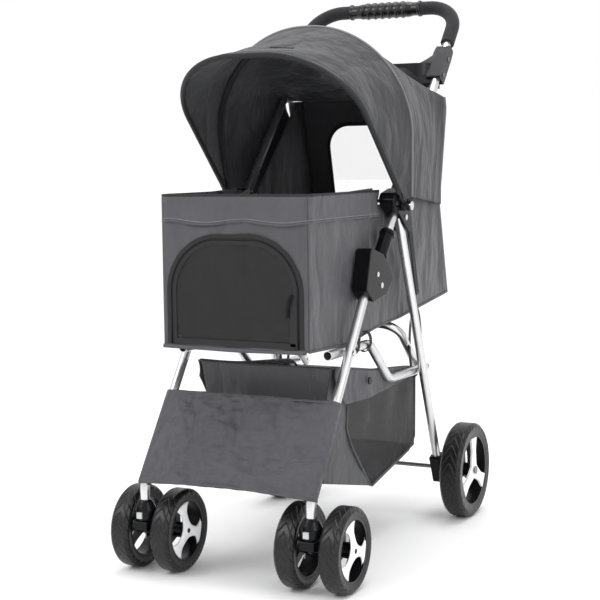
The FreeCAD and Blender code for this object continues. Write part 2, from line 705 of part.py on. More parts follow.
BRAKE_PIVOT = (276, 117)
BRAKE_TONGUE = [(240, 100), (262, 124), (280, 123), (283, 112), (262, 96)]
for name, side in SIDES.items():
    foot = new_body(f"rear_bracket_{name}")
    low, high = span(side, "frame_x - 11", "frame_x + 10")
    top = on_rear_leg(122)
    bottom = on_rear_leg(80)
    outline = [(top[0] - 12, top[1] - 4), (top[0] + 12, top[1] + 4), (266, 108), (270, 84), (258, 72)]
    outline += [(bottom[0] - 6, 66), (bottom[0] - 12, 80)]
    pad_plate(foot, outline, low, high, [3, 3, 8, 8, 6, 5, 4])
    round_edges(foot, 1.5)
    low, high = span(side, "frame_x - 3", "frame_x + 3")
    pad_plate(foot, BRAKE_TONGUE, low, high, [2, 6, 5, 5, 2])
    doc.recompute()
    cut_disc(foot, BRAKE_PIVOT, "brake_pin", low, high)
    boss = span(side, "frame_x + 9", "frame_x + 21.5")
    sketch = side_sketch(foot, boss[0])
    sketch.addGeometry(Part.Circle(Vector(REAR_AXLE[0], REAR_AXLE[1], 0), Vector(0, 0, 1), 9), False)
    pad = foot.newObject("PartDesign::Pad", "Boss")
    pad.Profile = sketch
    pad.setExpression("Length", named(f"( {boss[1]} ) - ( {boss[0]} )"))
    doc.recompute()
    bore = facing(side_plane(side * X), on_rear_leg(REAR_LEG_LOW), on_rear_leg(200))
    cut_along(foot, bore, "tube_radius", 60)
    low, high = span(side, "frame_x - 12", "frame_x + 22")
    cut_disc(foot, REAR_AXLE, "axle_radius", low, high)

axle_half = D["rear_wheel_x"] + D["rear_wheel_half"] + 0.6
rod = Part.makeCylinder(D["axle_radius"], 2 * axle_half, Vector(-axle_half, *REAR_AXLE), Vector(1, 0, 0))
cap = pin_solid(REAR_AXLE, axle_half - 0.2, axle_half, 7.5, 7.5, 1.4)
axle = doc.addObject("Part::Feature", "rear_axle")
axle.Shape = rod.multiFuse(both_sides(cap)).removeSplitter()
bodies["rear_axle"] = axle

PEDAL = [(270, 111), (270, 123.5), (290, 128), (312, 124), (312, 119), (290, 121), (281, 111)]
PEDAL_SLOT = [(260, 100), (260, 135), (288, 135), (288, 100)]
pins = []
for name, side in SIDES.items():
    pedal = new_body(f"brake_pedal_{name}")
    low, high = span(side, "frame_x - 9", "frame_x + 9")
    pad_plate(pedal, PEDAL, low, high, [4, 4, 6, 2, 2, 4, 4])
    round_edges(pedal, 1.0)
    low, high = span(side, "frame_x - 3.5", "frame_x + 3.5")
    cut_plate(pedal, PEDAL_SLOT, low, high)
    low, high = span(side, "frame_x - 10", "frame_x + 10")
    cut_disc(pedal, BRAKE_PIVOT, "brake_hole", low, high)
group("brake_pins", both_sides(pin_solid(BRAKE_PIVOT, X - 9, X + 9, D["brake_pin"])))

# ---- Side links and the U bar under the cabin --------------------------------------------------

LINK_RIVET = (200, 295)
LINK = [(-230, 370.5), (-62, 370.5), (24, 296), (206, 293)]
for name, side in SIDES.items():
    link = new_body(f"side_link_{name}")
    pipe(link, side_plane(side * D["link_x"]), LINK, [0, 40, 40, 0], "tube_radius", "tube_bore")
    doc.recompute()
    low, high = span(side, "link_x - 10", "link_x + 10")
    cut_disc(link, LINK_FRONT_PIVOT, "pin_hole", low, high)
    cut_disc(link, LINK_RIVET, "pin_radius", low, high)

U_START = (208, 288.4)
U_TOP = (105, 384)
u_run = (U_TOP[0] - U_START[0], U_TOP[1] - U_START[1])
u_length = math.hypot(*u_run)
U_HALF = 119
u_bar = new_body("support_bar")
path = [(U_HALF, 0), (U_HALF, u_length), (-U_HALF, u_length), (-U_HALF, 0)]
placement = cross_plane(U_START, (u_run[0] / u_length, u_run[1] / u_length))
pipe(u_bar, placement, path, [0, 36, 36, 0], "tube_radius", "tube_bore")

doc.recompute()
for side in SIDES.values():
    low, high = span(side, "link_x - 28", "link_x - 8")
    cut_disc(u_bar, LINK_RIVET, "pin_radius", low, high)
ends = both_sides(pin_solid(LINK_RIVET, U_HALF - 9, D["link_x"] + 8.5, 3))
group("link_rivets", ends)

# ---- Wheels -------------------------------------------------------------------------------------


def tyre(label, radius, half_width, bead, place):
    body = new_body(label)
    spin(body, [(-half_width + 2, bead), (-half_width, radius - 6), (-half_width + 6, radius),
                (half_width - 6, radius), (half_width, radius - 6), (half_width - 2, bead)],
         [0, 5, 5, 5, 5, 0])
    body.Placement = FreeCAD.Placement(place, FreeCAD.Rotation())


def spokes(body, hub, rim, narrow, wide, low, length):
    """Three spokes in a plane square to the X axis, waisted between hub and rim."""
    sketch = sketch_on(body, "YZ_Plane", FreeCAD.Placement(Vector(0, 0, low), FreeCAD.Rotation()))
    middle = (hub + rim) / 2
    points = [(-wide, 0), (-narrow, middle), (-wide, rim), (wide, rim), (narrow, middle), (wide, 0)]
    add_outline(sketch, points, [0, 40, 0, 0, 40, 0])
    spoke = body.newObject("PartDesign::Pad", "Spoke")
    spoke.Profile = sketch
    spoke.Length = length
    doc.recompute()
    pattern = body.newObject("PartDesign::PolarPattern", "Spokes")
    pattern.Originals = [spoke]
    pattern.Axis = (sketch, ["N_Axis"])
    pattern.Angle = 360
    pattern.Occurrences = 3
    body.Tip = pattern
    doc.recompute()
    return pattern


HUB_SET_BACK = 6.2


def rim(label, bead, ledge, half_width, place, narrow, wide, outward):
    body = new_body(label)
    edge = half_width - 2.5
    spin(body, [(-edge, ledge), (-edge, bead - 0.01), (edge, bead - 0.01), (edge, ledge)])
    inner = -outward * half_width
    outer = outward * (half_width - HUB_SET_BACK)
    spin(body, [(inner, 1), (inner, 13), (outer, 13), (outer, 1)])
    low = -8 if outward > 0 else 2
    spokes(body, 13, ledge + 2, narrow, wide, low, 6)
    cut_disc(body, (0, 0), "axle_hole", "-1 * 40", "40")
    body.Placement = FreeCAD.Placement(place, FreeCAD.Rotation())


for name, side in SIDES.items():
    place = Vector(side * D["rear_wheel_x"], *REAR_AXLE)
    tyre(f"rear_tyre_{name}", D["rear_wheel_radius"], D["rear_wheel_half"], 70, place)
    rim(f"rear_rim_{name}", 70, 64.5, D["rear_wheel_half"], place, 7, 11, side)
    cover = new_body(f"spoke_cover_{name}")
    low = D["rear_wheel_half"] - 6 if side > 0 else -D["rear_wheel_half"] + 2
    spokes(cover, 13, 62.4, 9, 14, low, 4)
    cut_disc(cover, (0, 0), "axle_hole", "-1 * 40", "40")
    cover.Placement = FreeCAD.Placement(place, FreeCAD.Rotation())

# ---- Casters --------------------------------------------------------------------------------------

SWIVEL_GAP = 0.4
for name, side in SIDES.items():
    stem = Vector(side * X, D["stem_y"], 0)

    housing = new_body(f"caster_housing_{name}")
    outline = [(1, 94), (17, 94), (19, 98), (19, 112), (13, 124), (10, 128), (1, 128)]
    section = sketch_on(housing, "XZ_Plane")
    add_outline(section, outline, [0, 2, 2, 4, 3, 1, 0])
    turned = housing.newObject("PartDesign::Revolution", "Turned")
    turned.Profile = section
    turned.ReferenceAxis = (section, ["V_Axis"])
    turned.Angle = 360
    up = FreeCAD.Placement(Vector(0, 0, D["stem_low"]), FreeCAD.Rotation())
    cut_along(housing, up, "tube_radius", 40)
    cut_along(housing, FreeCAD.Placement(Vector(0, 0, 80), FreeCAD.Rotation()), "swivel_hole", 26)
    slot = sketch_on(housing, "XY_Plane", FreeCAD.Placement(Vector(0, 0, 97), FreeCAD.Rotation()))
    add_outline(slot, [(-5.4, -25), (5.4, -25), (5.4, -15), (-5.4, -15)])
    cut(housing, slot, "20")
    housing.Placement = FreeCAD.Placement(stem, FreeCAD.Rotation())

    fork = new_body(f"caster_fork_{name}")
    rise = D["front_axle_y"] - D["stem_y"]
    arm = [(-18, 78), (-18, 94 - SWIVEL_GAP), (18, 94 - SWIVEL_GAP), (rise + 8, 86), (rise + 13, 72)]
    arm += [(rise + 6, 58), (rise - 8, 58), (8, 72)]
    pad_plate(fork, arm, "-1 * 13", "13", [5, 3, 6, 8, 8, 6, 6, 20])
    round_edges(fork, 1.5)
    plug = sketch_on(fork, "XY_Plane", FreeCAD.Placement(Vector(0, 0, 88), FreeCAD.Rotation()))
    add_circle(plug, 0, 0, "swivel_radius")
    swivel = fork.newObject("PartDesign::Pad", "SwivelStem")
    swivel.Profile = plug
    swivel.Length = 17
    doc.recompute()
    axle_spot = (rise, D["front_wheel_radius"])
    pad_disc(fork, axle_spot, "axle_radius", "-1 * ( front_wheel_offset + front_wheel_half + 1 )",
             "front_wheel_offset + front_wheel_half + 1")
    boss = side_sketch(fork, "-1 * ( front_wheel_offset - front_wheel_half - 0.4 )")
    boss.addGeometry(Part.Circle(Vector(*axle_spot, 0), Vector(0, 0, 1), 9), False)
    pad = fork.newObject("PartDesign::Pad", "Boss")
    pad.Profile = boss
    pad.setExpression("Length", named("2 * ( front_wheel_offset - front_wheel_half - 0.4 )"))
    fork.Placement = FreeCAD.Placement(stem, FreeCAD.Rotation())

    tab = new_body(f"swivel_lock_{name}")
    sketch = sketch_on(tab, "XY_Plane", FreeCAD.Placement(Vector(0, 0, 99), FreeCAD.Rotation()))
    outline = [(-5, -20.4), (5, -20.4), (5, -15.4), (-5, -15.4)]
    add_outline(sketch, outline, 1)
    pad = tab.newObject("PartDesign::Pad", "Tab")
    pad.Profile = sketch
    pad.Length = 10
    tab.Placement = FreeCAD.Placement(stem, FreeCAD.Rotation())

    for place_name, offset in (("outer", 1), ("inner", -1)):
        wheel_x = side * X + side * offset * D["front_wheel_offset"]
        place = Vector(wheel_x, *FRONT_AXLE)
        label = f"{name}_{place_name}"
        tyre(f"front_tyre_{label}", D["front_wheel_radius"], D["front_wheel_half"], 54, place)
        rim(f"front_rim_{label}", 54, 49, D["front_wheel_half"], place, 5.5, 9, side * offset)

# ---- Check and write ---------------------------------------------------------------------------------

doc.recompute()
for thing in doc.Objects:
    if "Invalid" in thing.State or "Error" in thing.State:
        raise RuntimeError(f"{thing.Name} {thing.Label}: {thing.State}")
for label, piece in bodies.items():
    if piece.Shape.isNull() or not piece.Shape.isValid():
        raise RuntimeError(f"{label}: bad shape")
    piece.Shape.exportStep(f"parts/{label}.step")
print(len(bodies), "sub-parts written")
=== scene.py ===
import bpy
import json
import math
from mathutils import Matrix, Vector, noise

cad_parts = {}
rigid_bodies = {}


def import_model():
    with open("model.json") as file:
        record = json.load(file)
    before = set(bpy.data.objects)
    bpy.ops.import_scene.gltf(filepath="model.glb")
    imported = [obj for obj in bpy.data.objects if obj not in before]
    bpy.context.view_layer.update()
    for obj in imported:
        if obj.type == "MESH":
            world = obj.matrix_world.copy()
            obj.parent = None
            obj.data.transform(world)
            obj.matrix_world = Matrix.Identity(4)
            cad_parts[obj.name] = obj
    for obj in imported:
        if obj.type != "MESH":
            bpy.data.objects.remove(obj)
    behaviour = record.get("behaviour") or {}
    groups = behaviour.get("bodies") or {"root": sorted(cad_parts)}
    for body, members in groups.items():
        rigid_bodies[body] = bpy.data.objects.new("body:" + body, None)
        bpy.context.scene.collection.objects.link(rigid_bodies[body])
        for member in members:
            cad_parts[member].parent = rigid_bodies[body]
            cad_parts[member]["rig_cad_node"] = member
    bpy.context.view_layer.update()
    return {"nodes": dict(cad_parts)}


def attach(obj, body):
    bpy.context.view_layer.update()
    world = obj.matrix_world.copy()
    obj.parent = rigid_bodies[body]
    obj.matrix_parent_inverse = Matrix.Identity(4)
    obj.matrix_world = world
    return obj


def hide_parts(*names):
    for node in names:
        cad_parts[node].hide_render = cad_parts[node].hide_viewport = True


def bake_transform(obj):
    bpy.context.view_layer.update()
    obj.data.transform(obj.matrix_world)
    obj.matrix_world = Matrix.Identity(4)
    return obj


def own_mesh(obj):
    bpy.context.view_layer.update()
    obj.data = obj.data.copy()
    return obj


# Looks of the folding pet stroller. Metres in the scene; outlines below are in millimetres.

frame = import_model()
NODES = frame["nodes"]
MM = 0.001


# ---- Materials ----------------------------------------------------------------------------

class Nodes:
    """Short hands for building one procedural material."""

    def __init__(self, name):
        self.mat = bpy.data.materials.new(name)
        self.mat.use_nodes = True
        self.tree = self.mat.node_tree
        self.shader = self.tree.nodes["Principled BSDF"]
        self.coords = self.add("ShaderNodeTexCoord").outputs["Object"]

    def add(self, kind, **values):
        node = self.tree.nodes.new(kind)
        for key, value in values.items():
            setattr(node, key, value)
        return node

    def link(self, source, target):
        self.tree.links.new(source, target)

    def stretched(self, scale, turn=(0, 0, 0)):
        node = self.add("ShaderNodeMapping")
        node.inputs["Scale"].default_value = scale
        node.inputs["Rotation"].default_value = turn
        self.link(self.coords, node.inputs["Vector"])
        return node.outputs["Vector"]

    def noise(self, scale, detail=3.0, vector=None):
        node = self.add("ShaderNodeTexNoise")
        node.inputs["Scale"].default_value = scale
        node.inputs["Detail"].default_value = detail
        self.link(vector or self.coords, node.inputs["Vector"])
        return node.outputs["Fac"]

    def bands(self, scale, axis):
        node = self.add("ShaderNodeTexWave", bands_direction=axis)
        node.inputs["Scale"].default_value = scale
        node.inputs["Distortion"].default_value = 0.4
        self.link(self.coords, node.inputs["Vector"])
        return node.outputs["Fac"]

    def math(self, operation, a, b=None, c=None):
        node = self.add("ShaderNodeMath", operation=operation)
        for slot, value in enumerate((a, b, c)):
            if value is None:
                continue
            if isinstance(value, (int, float)):
                node.inputs[slot].default_value = value
            else:
                self.link(value, node.inputs[slot])
        return node.outputs[0]

    def ramp(self, factor, stops):
        node = self.add("ShaderNodeValToRGB")
        elements = node.color_ramp.elements
        while len(elements) < len(stops):
            elements.new(0.5)
        for element, (spot, colour) in zip(elements, stops):
            element.position = spot
            element.color = (*colour, 1)
        self.link(factor, node.inputs["Fac"])
        return node.outputs["Color"]

    def bump(self, height, distance, strength=1.0, under=None):
        node = self.add("ShaderNodeBump")
        node.inputs["Strength"].default_value = strength
        node.inputs["Distance"].default_value = distance
        self.link(height, node.inputs["Height"])
        if under is not None:
            self.link(under, node.inputs["Normal"])
        return node.outputs["Normal"]

    def normal(self, output):
        self.link(output, self.shader.inputs["Normal"])

    def set(self, **values):
        for key, value in values.items():
            self.shader.inputs[key.replace("_", " ")].default_value = value


def shades(colour, spread):
    low = tuple(c * (1 - spread) for c in colour)
    high = tuple(c * (1 + spread) for c in colour)
    return [(0.3, low), (0.7, high)]


def metal(name, colour, rough, spread=0.05):
    m = Nodes(name)
    m.set(Metallic=1.0)
    cloud = m.noise(60, 4)
    m.link(m.ramp(cloud, shades(colour, spread)), m.shader.inputs["Base Color"])
    streak = m.noise(220, 2, m.stretched((1, 1, 0.12)))
    m.link(m.math("MULTIPLY_ADD", streak, 0.12, rough - 0.06), m.shader.inputs["Roughness"])
    m.normal(m.bump(streak, 0.00006, 0.5))
    return m.mat


def plastic(name, colour, rough, grain=900, depth=0.00008, coat=0.0, shine=0.3):
    m = Nodes(name)
    fine = m.noise(grain, 3)
    cloud = m.noise(25, 3)
    m.link(m.ramp(cloud, shades(colour, 0.12)), m.shader.inputs["Base Color"])
    m.link(m.math("MULTIPLY_ADD", cloud, 0.16, rough - 0.08), m.shader.inputs["Roughness"])
    m.set(Coat_Weight=coat, Coat_Roughness=0.15, Specular_IOR_Level=shine)
    m.normal(m.bump(fine, depth, 0.6))
    return m.mat


def foam(name):
    m = Nodes(name)
    cells = m.add("ShaderNodeTexVoronoi")
    cells.inputs["Scale"].default_value = 900
    m.link(m.coords, cells.inputs["Vector"])
    m.link(m.ramp(m.noise(90, 5), shades((0.016, 0.016, 0.018), 0.2)), m.shader.inputs["Base Color"])
    m.set(Roughness=0.88, Sheen_Weight=0.1, Sheen_Roughness=0.5, Specular_IOR_Level=0.3)
    m.normal(m.bump(cells.outputs["Distance"], 0.0004, 0.6))
    return m.mat


def tyre(name, centre, blocks, inner, outer):
    """Rubber with raised blocks round the tread and shoulders. The centre is (x, y, z)."""
    m = Nodes(name)
    place = m.add("ShaderNodeVectorMath", operation="SUBTRACT")
    m.link(m.coords, place.inputs[0])
    place.inputs[1].default_value = centre
    split = m.add("ShaderNodeSeparateXYZ")
    m.link(place.outputs[0], split.inputs[0])
    x, y, z = split.outputs
    angle = m.math("ARCTAN2", y, z)
    away = m.math("SQRT", m.math("ADD", m.math("MULTIPLY", y, y), m.math("MULTIPLY", z, z)))
    across = m.math("MULTIPLY", m.math("ABSOLUTE", x), 90)
    turns = m.math("ADD", m.math("MULTIPLY", angle, blocks / math.tau), across)
    cell = m.math("PINGPONG", turns, 0.5)
    bars = m.math("SMOOTH_MIN", m.math("MULTIPLY", m.math("SUBTRACT", cell, 0.07), 9), 1.0, 0.3)
    band = m.math("COMPARE", away, (inner + outer) / 2, (outer - inner) / 2)
    groove = m.math("COMPARE", m.math("ABSOLUTE", x), 0.006, 0.0011)
    height = m.math("SUBTRACT", m.math("MULTIPLY", bars, band), groove)
    first = m.bump(height, 0.0008, 0.8)
    m.link(m.ramp(m.noise(40, 4), shades((0.006, 0.006, 0.007), 0.3)), m.shader.inputs["Base Color"])
    m.set(Roughness=0.34, Specular_IOR_Level=0.35)
    m.normal(m.bump(m.noise(700, 3), 0.0001, 0.5, first))
    return m.mat


def weave(name, colour, rough=0.7, sheen=0.12, crease=0.0008, pitch=260, spread=0.09, grain=(1, 1, 0.5)):
    m = Nodes(name)
    threads = m.math("MULTIPLY", m.bands(pitch, "DIAGONAL"), m.bands(pitch * 0.93, "Z"))
    patch = m.noise(9, 5)
    fine = m.noise(pitch * 2, 2)
    mixed = m.math("ADD", m.math("MULTIPLY", patch, 0.8), m.math("MULTIPLY", fine, 0.2))
    m.link(m.ramp(mixed, shades(colour, spread)), m.shader.inputs["Base Color"])
    m.set(Roughness=rough, Sheen_Weight=sheen, Sheen_Roughness=0.45, Specular_IOR_Level=0.45)
    soft = m.noise(22, 5, m.stretched(grain))
    drape = m.noise(6.5, 4, m.stretched((1, 1, 0.45), (0.3, 0.5, 0.2)))
    fold = m.math("ABSOLUTE", m.math("SUBTRACT", drape, 0.5))
    under = m.bump(fold, crease * 70, 1.0)
    first = m.bump(soft, crease * 9, 0.9, under)
    m.normal(m.bump(threads, 0.00012, 0.5, first))
    return m.mat


def net(name, colour, open_share, pitch=420):
    """Open mesh cloth: threads both ways with clear holes between."""
    m = Nodes(name)
    m.link(m.ramp(m.noise(20, 3), shades(colour, 0.2)), m.shader.inputs["Base Color"])
    m.set(Roughness=0.6, Sheen_Weight=0.1)
    one = m.bands(pitch, "Z")
    two = m.bands(pitch * 0.7, "DIAGONAL")
    holes = m.math("MULTIPLY", one, two)
    soft = m.math("MULTIPLY_ADD", holes, -1.2 * open_share, 1 - 0.55 * open_share)
    m.link(m.math("MAXIMUM", m.math("MINIMUM", soft, 1.0), 0.0), m.shader.inputs["Alpha"])
    wave = m.noise(18, 3)
    m.normal(m.bump(wave, 0.004, 0.7))
    return m.mat


GREY = (0.058, 0.058, 0.066)
M = {
    "silver": metal("satin_silver", (0.66, 0.66, 0.67), 0.30),
    "steel": metal("bright_steel", (0.72, 0.72, 0.73), 0.22),
    "dark_steel": metal("dark_steel", (0.22, 0.22, 0.23), 0.38),
    "wire": metal("bow_wire", (0.05, 0.05, 0.055), 0.5),
    "black": plastic("black_plastic", (0.004, 0.004, 0.005), 0.24, shine=0.16),
    "tray": plastic("tray_plastic", (0.011, 0.010, 0.013), 0.36, 600, 0.00012),
    "rim": plastic("rim_plastic", (0.005, 0.005, 0.006), 0.3),
    "white": plastic("white_plastic", (0.88, 0.88, 0.89), 0.35, coat=0.2, shine=0.5),
    "tab": plastic("grey_plastic", (0.46, 0.47, 0.49), 0.42),
    "rubber": plastic("grip_rubber", (0.005, 0.005, 0.006), 0.26, 500, 0.0001, shine=0.45),
    "foam": foam("handle_foam"),
    "grey": weave("grey_fabric", GREY, 0.52),
    "grey_flat": weave("grey_flap", tuple(c * 1.12 for c in GREY), crease=0.0006),
    "lining": weave("dark_lining", (0.040, 0.040, 0.045), 0.85, 0.1),
    "piping": weave("piping", (0.15, 0.15, 0.165), 0.6, 0.2, 0.0002),
    "binding": weave("black_binding", (0.006, 0.006, 0.007), 0.7, 0.05, 0.0003, 500),
    "board": weave("board_cover", (0.03, 0.03, 0.034), 0.85, 0.1, 0.0004),
    "creased": weave("creased_fabric", tuple(c * 1.05 for c in GREY), crease=0.0013, grain=(0.35, 1, 1.6)),
    "mesh": net("black_mesh", (0.0035, 0.0035, 0.004), 0.42),
    "window": net("window_mesh", (0.08, 0.08, 0.084), 1.5, 300),
}

PAINT = [
    ("front_leg", "silver"), ("rear_leg", "silver"), ("side_link", "silver"),
    ("handle_tube", "silver"), ("support_bar", "silver"), ("main_bow", "wire"),
    ("front_bow", "wire"), ("cabin_hoop", "wire"), ("fold_", "black"), ("hub_", "black"),
    ("caster_housing", "black"), ("rear_bracket", "black"), ("slide_lock", "black"),
    ("brake_left", "black"), ("brake_right", "black"), ("parent_tray", "tray"),
    ("foam_", "foam"), ("rubber_grip", "rubber"), ("front_rim", "rim"), ("rear_rim", "rim"),
    ("spoke_cover", "white"), ("swivel_lock", "tab"), ("frame_pins", "steel"),
    ("bracket_pins", "steel"), ("link_rivets", "steel"), ("tray_screws", "dark_steel"),
    ("brake_pins", "steel"), ("rear_axle", "dark_steel"), ("caster_fork", "black"),
    ("cabin_floor_board", "board"),
]

SIDES = (("left", 1), ("right", -1))
WHEELS = {
    "left_outer": (193, -289, 70), "left_inner": (115, -289, 70),
    "right_outer": (-193, -289, 70), "right_inner": (-115, -289, 70),
    "left": (197.5, 254.3, 90), "right": (-197.5, 254.3, 90),
}


def dress(piece, *keys):
    piece.data.materials.clear()
    for key in keys:
        piece.data.materials.append(M[key])


for label, node in NODES.items():
    for start, key in PAINT:
        if label.startswith(start):
            dress(node, key)
for label, (x, y, z) in WHEELS.items():
    front = z < 80
    kind = "front_tyre_" if front else "rear_tyre_"
    key = "tyre_" + label
    centre = (x * MM, y * MM, z * MM)
    if front:
        M[key] = tyre(key, centre, 24, 0.060, 0.0712)
    else:
        M[key] = tyre(key, centre, 30, 0.077, 0.0912)
    dress(NODES[kind + label], key)


# ---- Mesh helpers -------------------------------------------------------------------------

def new_piece(name, points, faces, keys, body=None, smooth=True):
    mesh = bpy.data.meshes.new(name)
    mesh.from_pydata([tuple(c * MM for c in p) for p in points], [], faces)
    mesh.validate()
    piece = bpy.data.objects.new(name, mesh)
    bpy.context.scene.collection.objects.link(piece)
    dress(piece, *keys)
    if smooth:
        mesh.polygons.foreach_set("use_smooth", [True] * len(mesh.polygons))
    if body:
        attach(piece, body)
    return piece


def thicken(piece, thick):
    solid = piece.modifiers.new("Thickness", "SOLIDIFY")
    solid.thickness = thick * MM
    solid.offset = 0
    return solid


def cloth_grid(name, spot, across, along, keys, keep=None, puff=None, thick=1.4, body=None):
    """A sheet over u and v from 0 to 1. keep(u, v) drops cells, puff(u, v, point) lifts along the normal."""
    points = []
    step = 1e-3
    for j in range(along + 1):
        for i in range(across + 1):
            u, v = i / across, j / along
            p = Vector(spot(u, v))
            if puff:
                a = Vector(spot(min(u + step, 1), v)) - Vector(spot(max(u - step, 0), v))
                b = Vector(spot(u, min(v + step, 1))) - Vector(spot(u, max(v - step, 0)))
                n = a.cross(b)
                if n.length > 1e-12:
                    p += n.normalized() * puff(u, v, p)
            points.append(p)
    faces = []
    for j in range(along):
        for i in range(across):
            if keep and not keep((i + 0.5) / across, (j + 0.5) / along):
                continue
            k = j * (across + 1) + i
            faces.append((k, k + 1, k + across + 2, k + across + 1))
    used = sorted({i for f in faces for i in f})
    order = {old: new for new, old in enumerate(used)}
    points = [points[i] for i in used]
    faces = [tuple(order[i] for i in f) for f in faces]
    piece = new_piece(name, points, faces, keys, body)
    solid = thicken(piece, thick)
    solid.use_even_offset = False
    if len(keys) > 1:
        solid.material_offset = 1
        solid.material_offset_rim = 1
    return piece


def cloth_area(piece):
    return sum(p.area for p in piece.data.polygons)


def declare(piece):
    """The flat cut is a rectangle about the piece, and its area is the cloth's own. It is worked out here and
    kept nowhere.
    """
    area = cloth_area(piece)
    corner = [Vector(c) for c in piece.bound_box]
    spans = sorted((max(c[k] for c in corner) - min(c[k] for c in corner) for k in range(3)))
    length = max(spans[2], 0.02)
    width = max(area / length, 0.011)
    while area > width * length:
        width *= 1.01


def between(points, t):
    """A point at the share t of a polyline whose points carry their own share first."""
    for (s0, a), (s1, b) in zip(points, points[1:]):
        if t <= s1:
            k = (t - s0) / max(s1 - s0, 1e-9)
            return tuple(p + (q - p) * k for p, q in zip(a, b))
    return points[-1][1]


def smooth_path(points, rounds=2, closed=False):
    for _ in range(rounds):
        fresh = [] if closed else [points[0]]
        pairs = list(zip(points, points[1:] + points[:1])) if closed else list(zip(points, points[1:]))
        for a, b in pairs:
            fresh.append(tuple(p * 0.75 + q * 0.25 for p, q in zip(a, b)))
            fresh.append(tuple(p * 0.25 + q * 0.75 for p, q in zip(a, b)))
        if not closed:
            fresh.append(points[-1])
        points = fresh
    return points


def cordlike(name, points, radius, key, body=None, closed=False, flat=1.0):
    """A rounded strand along points, as a mesh."""
    count, ring = len(points), 8
    spots = [Vector(p) for p in points]
    verts, faces = [], []
    side = None
    for i, p in enumerate(spots):
        nxt = spots[(i + 1) % count] if closed or i < count - 1 else p
        prv = spots[i - 1] if closed or i > 0 else p
        run = (nxt - prv).normalized()
        if side is None:
            side = run.orthogonal().normalized()
        side = (side - run * side.dot(run)).normalized()
        up = run.cross(side)
        for k in range(ring):
            a = math.tau * k / ring
            verts.append(p + side * math.cos(a) * radius + up * math.sin(a) * radius * flat)
    for i in range(count if closed else count - 1):
        j = (i + 1) % count
        for k in range(ring):
            l = (k + 1) % ring
            faces.append((i * ring + k, i * ring + l, j * ring + l, j * ring + k))
    if not closed:
        faces.append(tuple(range(ring - 1, -1, -1)))
        faces.append(tuple((count - 1) * ring + k for k in range(ring)))
    return new_piece(name, verts, faces, [key], body)


def ribbon(name, points, outward, wide, thick, key, body=None):
    """A flat band along points. outward(i) is the band's own normal; it is wide across and thick through."""
    spots = [Vector(p) for p in points]
    verts, faces = [], []
    last = len(spots) - 1
    for i, p in enumerate(spots):
        run = (spots[min(i + 1, last)] - spots[max(i - 1, 0)]).normalized()
        n = Vector(outward(i)).normalized()
        across = run.cross(n).normalized()
        for a, b in ((-1, -1), (1, -1), (1, 1), (-1, 1)):
            verts.append(p + across * a * wide / 2 + n * b * thick / 2)
    for i in range(last):
        for k in range(4):
            l = (k + 1) % 4
            faces.append((i * 4 + k, i * 4 + l, (i + 1) * 4 + l, (i + 1) * 4 + k))
    faces.append((3, 2, 1, 0))
    faces.append(tuple(last * 4 + k for k in range(4)))
    piece = new_piece(name, verts, faces, [key], body, smooth=False)
    return piece


def ripple(p, scale, seed):
    return noise.noise(Vector((p[0] * scale + seed, p[1] * scale, p[2] * scale)))


def soften(piece):
    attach(piece, "root")
    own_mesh(piece)


# ---- Canopy -------------------------------------------------------------------------------

HUB = (16, 606)
# foot, half width at the top, height, bend, degrees that it leans forward
MAIN = (180, 187, 311, 182, 6.2)
FRONT = (172, 168, 360, 140, 45.6)
OVER_WIRE = 4.6
LOW, HIGH = 0.018, 0.982
outlines = {}


def arch_outline(shape, grow):
    """The bow's rounded path, grown outwards, as evenly spaced points (x, rise)."""
    foot, half, height, bend = (value + grow for value in shape[:4])
    centre = (half - bend, height - bend)
    path = [(foot, 0)]
    for k in range(41):
        a = math.radians(90 * k / 40)
        path.append((centre[0] + bend * math.cos(a), centre[1] + bend * math.sin(a)))
    path.append((0, height))
    path += [(-x, z) for x, z in reversed(path[:-1])]
    runs = [0.0]
    for a, b in zip(path, path[1:]):
        runs.append(runs[-1] + math.dist(a, b))
    return path, runs


def arch(shape, t, grow=0.0):
    """A point of a canopy arch in its own leaning plane, from the left foot at 0 to the right at 1."""
    key = (shape, grow)
    if key not in outlines:
        outlines[key] = arch_outline(shape, OVER_WIRE + grow)
    path, runs = outlines[key]
    want = min(max(t, 0), 1) * runs[-1]
    i = 0
    while i < len(runs) - 2 and runs[i + 1] < want:
        i += 1
    k = (want - runs[i]) / max(runs[i + 1] - runs[i], 1e-9)
    x = path[i][0] + (path[i + 1][0] - path[i][0]) * k
    rise = path[i][1] + (path[i + 1][1] - path[i][1]) * k
    lean = math.radians(shape[4])
    return Vector((x, HUB[0] - rise * math.sin(lean), HUB[1] + rise * math.cos(lean)))


def canopy_front_spot(u, v):
    t = LOW + (HIGH - LOW) * u
    a, b = arch(FRONT, t), arch(MAIN, t)
    return a.lerp(b, v)


def canopy_front_puff(u, v, p):
    sag = -7.0 * math.sin(math.pi * v) * math.sin(math.pi * u) ** 2
    wrinkle = ripple(p, 0.016, 3) * 4.5 * math.sin(math.pi * v)
    pull = math.sin(u * 60 + v * 6) * 1.5 * math.sin(math.pi * v) * (1 - math.sin(math.pi * u)) ** 2
    return -(sag + wrinkle + pull)


REAR_EDGE = [
    (0.00, (137, 285, 600)), (0.10, (143, 271, 660)), (0.22, (155, 251, 735)),
    (0.30, (168, 232, 786)), (0.325, (168, 226, 800)), (0.36, (150, 233, 804)),
    (0.42, (110, 239, 801)), (0.50, (0, 239, 801)),
]


def rear_edge(t):
    p = between(REAR_EDGE, min(t, 1 - t))
    return Vector((p[0] if t < 0.5 else -p[0], p[1], p[2]))


def canopy_rear_spot(u, v):
    t = LOW + (HIGH - LOW) * u
    return arch(MAIN, t).lerp(rear_edge(u), v)


